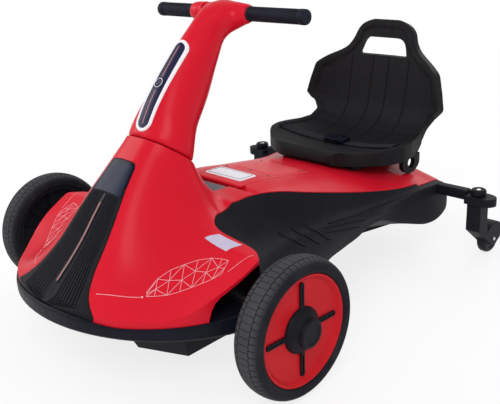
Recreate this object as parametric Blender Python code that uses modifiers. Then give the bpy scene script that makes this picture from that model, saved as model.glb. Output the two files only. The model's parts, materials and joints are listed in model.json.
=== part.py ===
# Child's electric ride-on kart: two driven front wheels, two rear casters, one bucket seat.
# Metres, +Z up. The nose points to -Y and the driver's left is +X.
# Every place below is measured from the point on the ground under the front axle.
# The origin of the finished part is under the middle of the whole kart.

import math

import bmesh
import bpy
from mathutils import Matrix, Vector

# Whole kart
FIT_GAP = 0.0003            # between pieces that seat on each other
AXLE_FROM_ORIGIN = 0.2282   # front axle, forward of the origin

# Body
BODY_HALF_WIDTH = 0.245
DRAWN_HALF_WIDTH = 0.245    # half width that the tables of the body are written for
NOSE_LENGTH = 0.210         # ahead of the front axle
BODY_BASE = 0.116           # flat underside of the red shell
TAIL_END = 0.622
TAIL_HALF_WIDTH = 0.210
TAIL_START = 0.500
PAN_BASE = 0.084
PAN_HALF_WIDTH = BODY_HALF_WIDTH - 0.061
PAN_TAIL_INSET = 0.012
LIP_DEPTH = 0.045           # how far the bumper's plate reaches in under the nose
LIP_BACK = -0.012
LIP_STEPS = 44
ARCH_INNER_X = BODY_HALF_WIDTH - 0.060
LINER_THICKNESS = 0.004
LINER_END = 0.0262
LINER_BASE = 0.096
LINER_STEP = 0.005          # behind the bumper's end, where the liner reaches lower
HIGH_ABOVE_BODY = 0.30      # how high the cutters of the deck and the wells reach
FAR_OUT = 0.40              # how far sideways the widest cutters reach

# Front wheels
WHEEL_RADIUS = 0.105
WHEEL_X = BODY_HALF_WIDTH + 0.065   # middle of the tyre
TYRE_WIDTH = 0.048
TYRE_DEPTH = 0.0215         # from the tread to the rim's seat
TYRE_BORE = WHEEL_RADIUS - TYRE_DEPTH
AXLE_RADIUS = 0.008
PIN_CLEARANCE = 0.0005
HUB_RADIUS = 0.0275
HUB_ARM_REACH = TYRE_BORE - 0.0135
HUB_ARM_WIDTH = 0.008
HUB_ARM_TURN = math.radians(12)

# Steering
COLUMN_TILT = math.radians(38)
SEAM_FRONT_Y = -0.004
SEAM_FRONT_Z = 0.333
SEAM_GAP = 0.0015
SEAM_CUT_REACH = 0.2        # size of the cutter that levels the mound's top
STEER_AXIS_DEPTH = 0.039    # behind the front line of the column
SHAFT_RADIUS = 0.012
SHAFT_DEPTH = 0.045
GRIP_RADIUS = 0.0125
GRIP_START = 0.0515
GRIP_END = 0.1736
GRIP_ALONG = 0.259          # grip axis, along the column from the seam
DRAWN_GRIP_ALONG = 0.259    # the height that the column's tables are written for
GRIP_BEHIND = 0.0625        # grip axis, behind the front line
COLLAR_END = 0.082
COLLAR_RADIUS = 0.0165

# Rear casters
CASTER_X = 0.282
CASTER_Y = 0.557
CASTER_TRAIL = 0.045
CASTER_WHEEL_RADIUS = 0.029
CASTER_WHEEL_WIDTH = 0.018
CASTER_WHEEL_PLAY = 0.0015
CASTER_PIN_RADIUS = 0.004
FORK_HALF_WIDTH = 0.0145
FORK_TOP = 0.1137
BRACKET_INNER = 0.020       # the bracket's reach towards the bar
BRACKET_OUTER = 0.036
BRACKET_HALF_DEPTH = 0.019
BRACKET_BASE = 0.1143
BRACKET_TOP = 0.1300
BAR_HALF_HEIGHT = 0.010
BAR_HALF_DEPTH = 0.010
BAR_Z = 0.1275
BAR_HALF_LENGTH = CASTER_X - BRACKET_INNER - FIT_GAP
STEM_RADIUS = 0.008
CAP_RADIUS = 0.0135
CAP_HEIGHT = 0.012

# Seat
SEAT_UNDERSIDE = 0.1930
SEAT_BASE = SEAT_UNDERSIDE - FIT_GAP
MOUNT_START, MOUNT_END, MOUNT_HALF_WIDTH = 0.420, 0.560, 0.090
SEAT_RIM = 0.003            # raised edge all round

# Belt
STRAP_Y, STRAP_HALF_WIDTH, STRAP_THICKNESS = 0.487, 0.0125, 0.0016
STRAP_REACH = 0.148
BUCKLE_HALF_LENGTH, BUCKLE_HALF_WIDTH, BUCKLE_HEIGHT = 0.026, 0.0165, 0.0085
LOOP_X, LOOP_Y, LOOP_RADIUS, LOOP_THICKNESS = 0.1510, 0.529, 0.0290, 0.009
LOOP_CLEARANCE = 0.0013     # between the loop's lowest point and the red surface
LOOP_ROUND, LOOP_HOLE = 0.6, 0.33   # shares of the loop's height

# Body stations: y, height on the centre line, half width of the crown at half height.
BODY_STATIONS = (
    (-0.210, 0.130, 0.110),
    (-0.182, 0.154, 0.115),
    (-0.154, 0.179, 0.115),
    (-0.129, 0.204, 0.110),
    (-0.100, 0.238, 0.100),
    (-0.070, 0.271, 0.090),
    (-0.038, 0.303, 0.082),
    (-0.004, 0.336, 0.076),
    (0.030, 0.372, 0.073),
    (0.048, 0.345, 0.073),
    (0.066, 0.285, 0.077),
    (0.082, 0.243, 0.100),
    (0.098, 0.225, 0.160),
    (0.130, 0.221, 0.200),
    (0.200, 0.219, 0.200),
    (0.250, 0.211, 0.200),
    (0.306, 0.202, 0.200),
    (0.384, 0.189, 0.200),
    (0.460, 0.178, 0.200),
    (0.520, 0.172, 0.200),
    (0.560, 0.166, 0.190),
    (0.590, 0.154, 0.180),
    (0.610, 0.138, 0.160),
    (0.622, 0.124, 0.150),
)
# Height of the red shell at its outer rim: y, z.
RIM_LINE = (
    (-0.210, 0.133), (-0.180, 0.131), (-0.140, 0.129), (-0.120, 0.132), (-0.100, 0.140),
    (-0.080, 0.151), (-0.0655, 0.1585), (-0.048, 0.167), (-0.030, 0.1745), (-0.0114, 0.183),
    (0.000, 0.1875), (0.015, 0.1878), (0.050, 0.187), (0.066, 0.188), (0.082, 0.186),
    (0.098, 0.178), (0.130, 0.165), (0.200, 0.140), (0.250, 0.132), (0.306, 0.130),
    (0.384, 0.130), (0.460, 0.132), (0.520, 0.136), (0.560, 0.1355), (0.590, 0.130),
    (0.610, 0.124), (0.622, 0.121),
)
CROWN_POWER = 3.6
# Rows of the shell's grid.
BODY_YS = (
    -0.2089, -0.2055, -0.2000, -0.1945, -0.1915, -0.1830, -0.1736, -0.1640, -0.1500, -0.1337,
    -0.1180, -0.1020, -0.0860, -0.0660, -0.0510, -0.0360, -0.0200, -0.0060, 0.0080, 0.0210,
    0.0340, 0.0480, 0.0570, 0.0660, 0.0740, 0.0820, 0.0900, 0.1007, 0.1150, 0.1300,
    0.1433, 0.1467, 0.1800, 0.2150, 0.2500, 0.2900, 0.3303, 0.3700, 0.4100, 0.4500,
    0.4900, 0.5250, 0.5550, 0.5780, 0.5920, 0.6040, 0.6140, 0.6220,
)
# Half width of the strip in the middle of the grid, behind the nose panel: y, x.
MIDDLE_STRIP = (
    (-0.036, 0.0300), (0.030, 0.0330), (0.090, 0.0463), (0.1433, 0.0463), (0.1467, 0.0623), (0.3303, 0.0623),
    (0.450, 0.0700), (0.622, 0.0600),
)
OUTER_STEPS = (0.08, 0.17, 0.27, 0.38, 0.50, 0.63, 0.76, 0.88, 0.95, 1.0)

# Footwell rows: red edge x, y, outer edge x, y, and heights of the shoulder, of the outer edge and below it.
WELL_ROWS = (
    (0.2340, 0.0105, 0.250, 0.0105, 0.1400, 0.1370, 0.1030),
    (0.2275, 0.0160, 0.250, 0.0190, 0.1400, 0.1370, 0.1035),
    (0.2200, 0.0205, 0.250, 0.0300, 0.1395, 0.1370, 0.1040),
    (0.2050, 0.0250, 0.250, 0.0500, 0.1390, 0.1370, 0.1050),
    (0.1856, 0.0270, 0.250, 0.0700, 0.1385, 0.1370, 0.1080),
    (0.1620, 0.0262, 0.250, 0.0900, 0.1380, 0.1370, 0.1120),
    (0.1440, 0.0240, 0.250, 0.1100, 0.1380, 0.1370, 0.1160),
    (0.1290, 0.0262, 0.248, 0.1250, 0.1380, 0.1370, 0.1190),
    (0.1180, 0.0360, 0.244, 0.1400, 0.1380, 0.1370, 0.1220),
    (0.1080, 0.0550, 0.240, 0.1550, 0.1385, 0.1375, 0.1245),
    (0.1000, 0.0850, 0.236, 0.1700, 0.1385, 0.1375, 0.1265),
    (0.0965, 0.1200, 0.231, 0.1900, 0.1385, 0.1370, 0.1260),
    (0.0975, 0.1500, 0.227, 0.2100, 0.1390, 0.1365, 0.1252),
    (0.1040, 0.1800, 0.223, 0.2320, 0.1395, 0.1365, 0.1252),
    (0.1177, 0.2311, 0.218, 0.2680, 0.1405, 0.1385, 0.1262),
    (0.1318, 0.2854, 0.212, 0.3100, 0.1425, 0.1412, 0.1318),
    (0.1463, 0.3400, 0.208, 0.3550, 0.1410, 0.1370, 0.1262),
    (0.1600, 0.3950, 0.206, 0.4000, 0.1390, 0.1190, 0.1065),
    (0.1720, 0.4450, 0.207, 0.4500, 0.1400, 0.1010, 0.0880),
    (0.1810, 0.4900, 0.208, 0.4950, 0.1420, 0.0880, 0.0740),
    (0.1850, 0.5350, 0.208, 0.5350, 0.1398, 0.0850, 0.0715),
    (0.1810, 0.5750, 0.204, 0.5720, 0.1345, 0.0930, 0.0800),
    (0.1700, 0.5980, 0.196, 0.5900, 0.1255, 0.1080, 0.0940),
    (0.1580, 0.6120, 0.180, 0.6060, 0.1210, 0.1140, 0.1050),
)
# The red edge outside those rows: round the tip of the fender, and past the tail.
FENDER_TIP = ((0.3000, -0.0030), (0.2460, -0.0030), (0.2445, 0.0010), (0.2405, 0.0060))
TAIL_CORNER = (0.1400, 0.6400)
WELL_STEPS = (0.0, 0.06, 0.14, 0.24, 0.36, 0.5, 0.68, 0.85, 1.0)
WELL_DROP = 0.0015          # black wall starts this far below the red edge
WELL_INNER_BASE = ((0.0, 0.100), (0.300, 0.098), (0.400, 0.090), (0.450, 0.084), (0.612, 0.084))

# Wheel arch line on the side of the shell: y, z.
ARCH_LINE = (
    (-0.0840, 0.100), (-0.0830, 0.120), (-0.0795, 0.134), (-0.0735, 0.1455), (-0.0655, 0.1530),
    (-0.0480, 0.1619), (-0.0300, 0.170), (-0.0114, 0.1785), (0.0000, 0.1815), (0.0200, 0.1835),
    (0.0340, 0.1838),
)

# Nose panel: y and half width, from the bumper up to the display's top.
PANEL_EDGE = (
    (-0.2100, 0.1250), (-0.1945, 0.1150), (-0.1915, 0.1040), (-0.1886, 0.0945), (-0.1830, 0.0820),
    (-0.1736, 0.0715), (-0.1640, 0.0655), (-0.1500, 0.0590), (-0.1337, 0.0545), (-0.1180, 0.0512),
    (-0.1020, 0.0475), (-0.0860, 0.0428), (-0.0660, 0.0365), (-0.0510, 0.0328), (-0.0410, 0.0308),
    (-0.0380, 0.0290), (-0.0360, 0.0250),
)
PANEL_YS = (
    -0.2089, -0.2055, -0.2000, -0.1945, -0.1915, -0.1886, -0.1830, -0.1736, -0.1640, -0.1500,
    -0.1337, -0.1180, -0.1020, -0.0860,
)
FULL_WIDTH_END = -0.1915    # ahead of this the panel takes the whole nose
PANEL_THICKNESS = 0.0035
DISPLAY_START = -0.066
DISPLAY_YS = (-0.066, -0.051, -0.041, -0.038, -0.036)
RIB_COUNT = 5
RIB_HEIGHT = 0.0012
PANEL_STEPS = 26
LIGHT_START = -0.183
LIGHT_END = -0.086
LIGHT_HALF_WIDTH = 0.0022

# Deck details
MAT_START, MAT_END, MAT_HALF_WIDTH = 0.101, 0.1430, 0.046
MAT_THICKNESS = 0.002
MAT_SINK = 0.007
HATCH_START, HATCH_END, HATCH_HALF_WIDTH = 0.1470, 0.330, 0.062
HATCH_THICKNESS = 0.005
HATCH_PROUD = 0.0012
LABEL_START, LABEL_END, LABEL_HALF_WIDTH = 0.163, 0.207, 0.047
LABEL_THICKNESS = 0.0006

# Drive housings: x, y of the corners at the bottom and at the top.
DRIVE_LOW = ((0.102, -0.122), (0.180, -0.090), (0.180, 0.040), (0.102, 0.040))
DRIVE_HIGH = ((0.096, -0.138), (0.184, -0.100), (0.184, 0.048), (0.096, 0.048))
DRIVE_BASE = 0.050

# Column rings: distance along the column, half width, front and back of the ring behind the front line.
COLUMN_RINGS = (
    (0.000, 0.0660, -0.0020, 0.0780),
    (0.015, 0.0615, -0.0055, 0.0800),
    (0.030, 0.0570, -0.0072, 0.0820),
    (0.045, 0.0527, -0.0078, 0.0835),
    (0.060, 0.0485, -0.0080, 0.0850),
    (0.090, 0.0420, -0.0075, 0.0865),
    (0.110, 0.0380, -0.0062, 0.0865),
    (0.130, 0.0345, -0.0045, 0.0858),
    (0.152, 0.0322, -0.0022, 0.0842),
    (0.174, 0.0305, 0.0004, 0.0820),
    (0.200, 0.0300, 0.0048, 0.0785),
    (0.225, 0.0305, 0.0095, 0.0765),
    (0.241, 0.0305, 0.0150, 0.0770),
    (0.2555, 0.0285, 0.0250, 0.0765),
    (0.266, 0.0235, 0.0350, 0.0735),
    (0.273, 0.0170, 0.0440, 0.0700),
    (0.278, 0.0090, 0.0530, 0.0650),
)
FOOT_BLEND = 0.060          # the column's foot takes the mound's outline, and is an ellipse from here on
# Steering arms: half x, reach back and forth, reach up, reach down the column.
STEERING_ARMS = (
    (0.0515, 0.0160, 0.0160, 0.0160),
    (0.0450, 0.0165, 0.0162, 0.0175),
    (0.0370, 0.0180, 0.0168, 0.0225),
    (0.0290, 0.0198, 0.0175, 0.0320),
    (0.0200, 0.0215, 0.0180, 0.0480),
)
COLUMN_SIDES = 32
CAPSULE_START, CAPSULE_END = 0.009, 0.172
CAPSULE_FRAME_HALF = 0.0180
CAPSULE_PANEL_HALF = 0.0118
CAPSULE_LOW = 0.0011
CAPSULE_THICKNESS = 0.0024

# Seat rows from the front lip over the pan and up the back: y, z, half width, how far the sides dish,
# thickness in the middle and at the edge.
SEAT_ROWS = (
    (0.3850, 0.2030, 0.0500, 0.000, 0.0050, 0.0050),
    (0.3880, 0.2150, 0.0620, 0.001, 0.0200, 0.0200),
    (0.3960, 0.2195, 0.0860, 0.002, 0.0265, 0.0265),
    (0.4080, 0.2150, 0.1040, 0.004, 0.0220, 0.0260),
    (0.4220, 0.2090, 0.1240, 0.010, 0.0160, 0.0260),
    (0.4400, 0.2075, 0.1430, 0.014, 0.0145, 0.0285),
    (0.4600, 0.2070, 0.1570, 0.016, 0.0140, 0.0300),
    (0.4850, 0.2065, 0.1640, 0.017, 0.0135, 0.0305),
    (0.5150, 0.2068, 0.1610, 0.016, 0.0138, 0.0298),
    (0.5450, 0.2090, 0.1510, 0.013, 0.0160, 0.0290),
    (0.5750, 0.2150, 0.1420, 0.010, 0.0150, 0.0210),
    (0.6000, 0.2290, 0.1380, 0.011, 0.0140, 0.0180),
    (0.6150, 0.2450, 0.1520, 0.022, 0.0140, 0.0200),
    (0.6220, 0.2618, 0.1695, 0.030, 0.0130, 0.0230),
    (0.6300, 0.2950, 0.1612, 0.032, 0.0130, 0.0240),
    (0.6375, 0.3317, 0.1500, 0.032, 0.0130, 0.0240),
    (0.6410, 0.3480, 0.1275, 0.022, 0.0135, 0.0210),
    (0.6440, 0.3600, 0.1050, 0.010, 0.0140, 0.0190),
    (0.6465, 0.3720, 0.0870, 0.004, 0.0150, 0.0180),
    (0.6500, 0.3880, 0.0760, 0.002, 0.0150, 0.0170),
    (0.6540, 0.4060, 0.0695, 0.000, 0.0150, 0.0170),
    (0.6565, 0.4170, 0.0620, 0.000, 0.0140, 0.0150),
    (0.6585, 0.4255, 0.0490, 0.000, 0.0120, 0.0120),
    (0.6595, 0.4300, 0.0300, 0.000, 0.0080, 0.0080),
)
FLAT_ROWS = 10              # the underside of these rows is flat
SEAT_STEPS = (0.0, 0.2, 0.4, 0.6, 0.75, 0.88, 0.94, 1.0)
HANDLE_LOW, HANDLE_LOW_HALF, HANDLE_LOW_CORNER = 0.3570, 0.0625, 0.006
HANDLE_HIGH, HANDLE_HIGH_HALF, HANDLE_HIGH_CORNER = 0.3935, 0.0510, 0.016


# Scene, materials and small helpers

def clear_scene():
    for old in list(bpy.data.objects):
        bpy.data.objects.remove(old, do_unlink=True)


def new_collection(name):
    made = bpy.data.collections.new(name)
    bpy.context.scene.collection.children.link(made)
    return made


clear_scene()
KART = new_collection("ride_on_kart")
CUTTERS = new_collection("kart_cutters")


def material(name, colour, roughness, metallic=0.0):
    made = bpy.data.materials.new(name)
    made.use_nodes = True
    shader = made.node_tree.nodes["Principled BSDF"]
    shader.inputs["Base Color"].default_value = (*colour, 1.0)
    shader.inputs["Roughness"].default_value = roughness
    shader.inputs["Metallic"].default_value = metallic
    made.diffuse_color = (*colour, 1.0)
    return made


RED_GLOSS = material("red_gloss_plastic", (0.64, 0.02, 0.035), 0.22)
RED_WHEEL = material("red_wheel_plastic", (0.52, 0.02, 0.025), 0.35)
BLACK_PLASTIC = material("black_textured_plastic", (0.016, 0.017, 0.026), 0.55)
GLOSS_BLACK = material("black_gloss_plastic", (0.012, 0.013, 0.022), 0.2)
TYRE_RUBBER = material("tyre_rubber", (0.045, 0.045, 0.052), 0.75)
GRIP_RUBBER = material("grip_rubber", (0.025, 0.028, 0.048), 0.6)
STEEL = material("steel_pin", (0.55, 0.56, 0.58), 0.3, 1.0)
WHITE_TRIM = material("white_trim", (0.85, 0.83, 0.86), 0.35)
NAVY_PANEL = material("navy_panel", (0.035, 0.036, 0.09), 0.15)
LIGHT_LENS = material("light_lens", (0.75, 0.45, 0.45), 0.3)
MAT_GREY = material("mat_grey", (0.2, 0.2, 0.22), 0.8)
LABEL_WHITE = material("label_white", (0.8, 0.81, 0.85), 0.4)
WEBBING = material("belt_webbing", (0.02, 0.021, 0.03), 0.8)


def empty(name, place, turn=(0, 0, 0), parent=None):
    made = bpy.data.objects.new(name, None)
    made.empty_display_size = 0.05
    made.location = place
    made.rotation_euler = turn
    made.parent = parent
    KART.objects.link(made)
    return made


KART_FRAME = empty("kart_frame", (0, -AXLE_FROM_ORIGIN, 0))


def add_object(name, mesh, finish, place=(0, 0, 0), turn=(0, 0, 0), parent=None, folder=None):
    made = bpy.data.objects.new(name, mesh)
    made.location = place
    made.rotation_euler = turn
    made.parent = parent or KART_FRAME
    (folder or KART).objects.link(made)
    if finish:
        mesh.materials.append(finish)
    mesh.shade_smooth()
    mesh.set_sharp_from_angle(angle=math.radians(35))
    return made


def mesh_from(name, points, faces):
    mesh = bpy.data.meshes.new(name)
    mesh.from_pydata([tuple(p) for p in points], [], faces)
    work = bmesh.new()
    work.from_mesh(mesh)
    bmesh.ops.recalc_face_normals(work, faces=work.faces)
    work.to_mesh(mesh)
    work.free()
    return mesh


def box_mesh(name, low, high):
    size = Vector(high) - Vector(low)
    middle = (Vector(high) + Vector(low)) / 2
    work = bmesh.new()
    bmesh.ops.create_cube(work, size=1.0, matrix=Matrix.Translation(middle) @ Matrix.Diagonal((*size, 1.0)))
    mesh = bpy.data.meshes.new(name)
    work.to_mesh(mesh)
    work.free()
    return mesh


def rod_mesh(name, start, end, radius, sides=24):
    start, end = Vector(start), Vector(end)
    along = end - start
    work = bmesh.new()
    bmesh.ops.create_cone(
        work, cap_ends=True, segments=sides, radius1=radius, radius2=radius, depth=along.length,
        matrix=Matrix.Translation((start + end) / 2) @ along.to_track_quat("Z", "Y").to_matrix().to_4x4())
    mesh = bpy.data.meshes.new(name)
    work.to_mesh(mesh)
    work.free()
    return mesh


def prism_mesh(name, outline, low, high, place):
    """An outline of (a, b) pairs extruded from low to high; place(a, b, h) gives the point."""
    count = len(outline)
    points = [place(a, b, h) for h in (low, high) for a, b in outline]
    faces = [tuple(range(count)), tuple(range(count, 2 * count))]
    faces += [(i, (i + 1) % count, (i + 1) % count + count, i + count) for i in range(count)]
    return mesh_from(name, points, faces)


def rings_mesh(name, rings):
    """A closed skin over rings of equal point counts, with flat ends."""
    count = len(rings[0])
    points = [p for ring in rings for p in ring]
    faces = [tuple(range(count)), tuple(range(len(points) - count, len(points)))]
    for r in range(len(rings) - 1):
        for i in range(count):
            j = (i + 1) % count
            faces.append((r * count + i, r * count + j, (r + 1) * count + j, (r + 1) * count + i))
    return mesh_from(name, points, faces)


def sheet_mesh(name, top_rows, bottom_rows):
    """A closed solid between two grids of equal size."""
    rows, columns = len(top_rows), len(top_rows[0])
    size = rows * columns
    points = [p for row in top_rows for p in row] + [p for row in bottom_rows for p in row]
    faces = []
    for r in range(rows - 1):
        for c in range(columns - 1):
            a, e = r * columns + c, (r + 1) * columns + c
            b, d = a + 1, e + 1
            faces.append((a, b, d, e))
            faces.append((a + size, e + size, d + size, b + size))
    edge = [c for c in range(columns)]
    edge += [r * columns + columns - 1 for r in range(1, rows)]
    edge += [(rows - 1) * columns + c for c in range(columns - 2, -1, -1)]
    edge += [r * columns for r in range(rows - 2, 0, -1)]
    for i, a in enumerate(edge):
        b = edge[(i + 1) % len(edge)]
        faces.append((a, b, b + size, a + size))
    return mesh_from(name, points, faces)


def turned(name, profile, finish, steps, parent, side=1, closed=False, place=(0, 0, 0)):
    """A profile of (radius, outward) pairs turned about the X axis; side -1 points outward to -X."""
    mesh = bpy.data.meshes.new(name)
    edges = [(i, i + 1) for i in range(len(profile) - 1)]
    if closed:
        edges.append((len(profile) - 1, 0))
    mesh.from_pydata([(r, 0, h) for r, h in profile], edges, [])
    made = add_object(name, mesh, finish, place, (0, side * math.pi / 2, 0), parent)
    screw = made.modifiers.new("turn", "SCREW")
    screw.steps = screw.render_steps = steps
    screw.use_merge_vertices = True
    screw.merge_threshold = 0.00001
    return made


def cut(target, cutter, operation="DIFFERENCE"):
    change = target.modifiers.new(operation.lower(), "BOOLEAN")
    change.operation = operation
    change.object = cutter
    change.solver = "EXACT"


def cutter(name, mesh, place=(0, 0, 0), turn=(0, 0, 0), parent=None):
    made = add_object(name, mesh, None, place, turn, parent, CUTTERS)
    made.hide_render = True
    made.display_type = "WIRE"
    return made


# Body surface

def smooth_table(table, y, column):
    """A value of the table at y, on a smooth curve through its rows."""
    rows = [(row[0], row[column]) for row in table]
    if y <= rows[0][0]:
        return rows[0][1]
    if y >= rows[-1][0]:
        return rows[-1][1]
    i = next(k for k in range(len(rows) - 1) if rows[k][0] <= y <= rows[k + 1][0])
    (y0, v0), (y1, v1) = rows[i], rows[i + 1]
    before = rows[max(i - 1, 0)]
    after = rows[min(i + 2, len(rows) - 1)]
    span = y1 - y0
    slope0 = (v1 - before[1]) / (y1 - before[0])
    slope1 = (after[1] - v0) / (after[0] - y0)
    t = (y - y0) / span
    h00, h10 = 2 * t**3 - 3 * t**2 + 1, t**3 - 2 * t**2 + t
    h01, h11 = -2 * t**3 + 3 * t**2, t**3 - t**2
    return h00 * v0 + h10 * span * slope0 + h01 * v1 + h11 * span * slope1


def straight_table(table, y, column):
    rows = [(row[0], row[column]) for row in table]
    if y <= rows[0][0]:
        return rows[0][1]
    for (y0, v0), (y1, v1) in zip(rows, rows[1:]):
        if y <= y1:
            return v0 + (v1 - v0) * (y - y0) / (y1 - y0)
    return rows[-1][1]


def wide(x):
    """A sideways place of the body's tables, for the body's present width."""
    return x * BODY_HALF_WIDTH / DRAWN_HALF_WIDTH


def body_half_width(y):
    if y < 0:
        return BODY_HALF_WIDTH * math.sqrt(max(1 - (y / NOSE_LENGTH) ** 2, 0.0))
    if y < TAIL_START:
        return BODY_HALF_WIDTH
    reach = min((y - TAIL_START) / (TAIL_END + 0.004 - TAIL_START), 1.0)
    return wide(TAIL_HALF_WIDTH) * (1 - reach**3) ** (1 / 3)


def body_top(x, y):
    """Height of the red surface: a crown that falls to the rim on both sides."""
    ridge = smooth_table(BODY_STATIONS, y, 1)
    crown = wide(smooth_table(BODY_STATIONS, y, 2))
    rim = smooth_table(RIM_LINE, y, 1)
    edge = max(body_half_width(y), abs(x), 0.001)
    fall = 1 / (1 + (abs(x) / crown) ** CROWN_POWER)
    fall_rim = 1 / (1 + (edge / crown) ** CROWN_POWER)
    return rim + (ridge - rim) * (fall - fall_rim) / (1 - fall_rim)


def panel_half(y):
    return wide(straight_table(PANEL_EDGE, y, 1))


def middle_half(y):
    if y <= MIDDLE_STRIP[0][0]:
        return min(panel_half(y), 0.85 * body_half_width(y))
    return min(straight_table(MIDDLE_STRIP, y, 1), 0.85 * body_half_width(y))


def shell_row(y):
    """Sideways places of the grid's points in one row of the shell."""
    width, middle = body_half_width(y), middle_half(y)
    half = [0.5 * middle, middle] + [middle + (width - middle) * step for step in OUTER_STEPS]
    return [-x for x in reversed(half)] + [0.0] + half


def body_shell():
    points, faces = [], []
    for y in BODY_YS:
        points += [(x, y, body_top(x, y)) for x in shell_row(y)]
    rows = len(BODY_YS)
    columns = len(points) // rows
    for r in range(rows - 1):
        for c in range(columns - 1):
            a = r * columns + c
            faces.append((a, a + 1, a + 1 + columns, a + columns))
    edge = [c for c in range(columns)]
    edge += [r * columns + columns - 1 for r in range(1, rows)]
    edge += [(rows - 1) * columns + c for c in range(columns - 2, -1, -1)]
    edge += [r * columns for r in range(rows - 2, 0, -1)]
    first = len(points)
    points += [(points[k][0], points[k][1], BODY_BASE) for k in edge]
    for i, a in enumerate(edge):
        j = (i + 1) % len(edge)
        faces.append((a, edge[j], first + j, first + i))
    faces.append(tuple(range(first, first + len(edge))))
    return add_object("body_shell", mesh_from("body_shell", points, faces), RED_GLOSS)


def strip_on_body(ys, half_width, low, high, steps, rib=None):
    """Top and bottom grids that follow the red surface, low and high above it."""
    top, bottom = [], []
    for y in ys:
        width = half_width(y)
        xs = [width * (2 * k / steps - 1) for k in range(steps + 1)]
        top.append([(x, y, body_top(x, y) + high + (rib(k) if rib else 0)) for k, x in enumerate(xs)])
        bottom.append([(x, y, body_top(x, y) + low) for x in xs])
    return top, bottom


def spaced(start, end, count):
    return [start + (end - start) * k / (count - 1) for k in range(count)]


def well_edge():
    """The red edge of the footwell in plan, on the left, from the fender's tip to the tail."""
    edge = list(FENDER_TIP) + [row[:2] for row in WELL_ROWS] + [TAIL_CORNER]
    return [(wide(x), y) for x, y in edge]


def nose_point(angle, outward):
    """A point outside the nose's outline in plan, by this much along its normal."""
    x, y = BODY_HALF_WIDTH * math.sin(angle), -NOSE_LENGTH * math.cos(angle)
    normal = Vector((x / BODY_HALF_WIDTH**2, y / NOSE_LENGTH**2)).normalized()
    return Vector((x, y)) + normal * outward


# Fixed pieces

def make_body():
    shell = body_shell()
    tilt = empty("seam_frame", (0, SEAM_FRONT_Y, SEAM_FRONT_Z), (-COLUMN_TILT, 0, 0), KART_FRAME)
    above = box_mesh("seam_cut", (-SEAM_CUT_REACH, -SEAM_CUT_REACH, -SEAM_GAP), (SEAM_CUT_REACH,) * 3)
    cut(shell, cutter("seam_cut", above, parent=tilt))
    bore = rod_mesh("shaft_bore", (0, STEER_AXIS_DEPTH, -SHAFT_DEPTH - 0.002), (0, STEER_AXIS_DEPTH, 0.05),
                    SHAFT_RADIUS + PIN_CLEARANCE)
    cut(shell, cutter("shaft_bore", bore, parent=tilt))
    edge = well_edge()
    arch = [(ARCH_LINE[0][0], PAN_BASE)] + list(ARCH_LINE) + [(ARCH_LINE[-1][0], PAN_BASE)]
    for side in (1, -1):
        outline = [(side * x, y) for x, y in edge] + [(side * edge[0][0], edge[-1][1])]
        mesh = prism_mesh("well_cut", outline, 0.05, HIGH_ABOVE_BODY, lambda a, b, h: (a, b, h))
        cut(shell, cutter(f"well_cut_{side}", mesh))
        near, far = sorted((side * ARCH_INNER_X, side * FAR_OUT))
        mesh = prism_mesh("arch_cut", arch, near, far, lambda a, b, h: (h, a, b))
        cut(shell, cutter(f"arch_cut_{side}", mesh))
    cut(shell, cutter("panel_cut", sheet_mesh("panel_cut", *panel_cut_grids())))
    mat = box_mesh("mat_cut",
                   (-MAT_HALF_WIDTH - FIT_GAP, MAT_START - FIT_GAP, body_top(0, MAT_END) - MAT_SINK),
                   (MAT_HALF_WIDTH + FIT_GAP, MAT_END + FIT_GAP, HIGH_ABOVE_BODY))
    cut(shell, cutter("mat_cut", mat))
    between = [y for y in BODY_YS if HATCH_START < y < HATCH_END]
    hatch_ys = [HATCH_START - FIT_GAP] + between + [HATCH_END + FIT_GAP]
    top, bottom = strip_on_body(hatch_ys, lambda y: HATCH_HALF_WIDTH + FIT_GAP,
                                HATCH_PROUD - HATCH_THICKNESS - 2 * FIT_GAP, 0.02, 4)
    cut(shell, cutter("hatch_cut", sheet_mesh("hatch_cut", top, bottom)))
    return shell


def panel_cut_grids():
    """The space for the nose panel; ahead of the red it takes the whole front of the shell."""
    ys = [-NOSE_LENGTH - 0.002] + list(PANEL_YS[1:]) + list(DISPLAY_YS[:-1]) + [DISPLAY_YS[-1] + FIT_GAP]
    top, bottom = strip_on_body(ys, lambda y: panel_half(y) + FIT_GAP,
                                -PANEL_THICKNESS - 4 * FIT_GAP, 0.02, 16)
    for r, y in enumerate(ys):
        if y <= FULL_WIDTH_END:
            bottom[r] = [(x, y, BODY_BASE - 0.01) for x, _, _ in bottom[r]]
    return top, bottom


def bar_tunnel():
    depth, height = BAR_HALF_DEPTH + FIT_GAP, BAR_HALF_HEIGHT + FIT_GAP
    mesh = box_mesh("bar_tunnel", (-FAR_OUT, CASTER_Y - depth, BAR_Z - height),
                    (FAR_OUT, CASTER_Y + depth, BAR_Z + height))
    return cutter("bar_tunnel", mesh)


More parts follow.
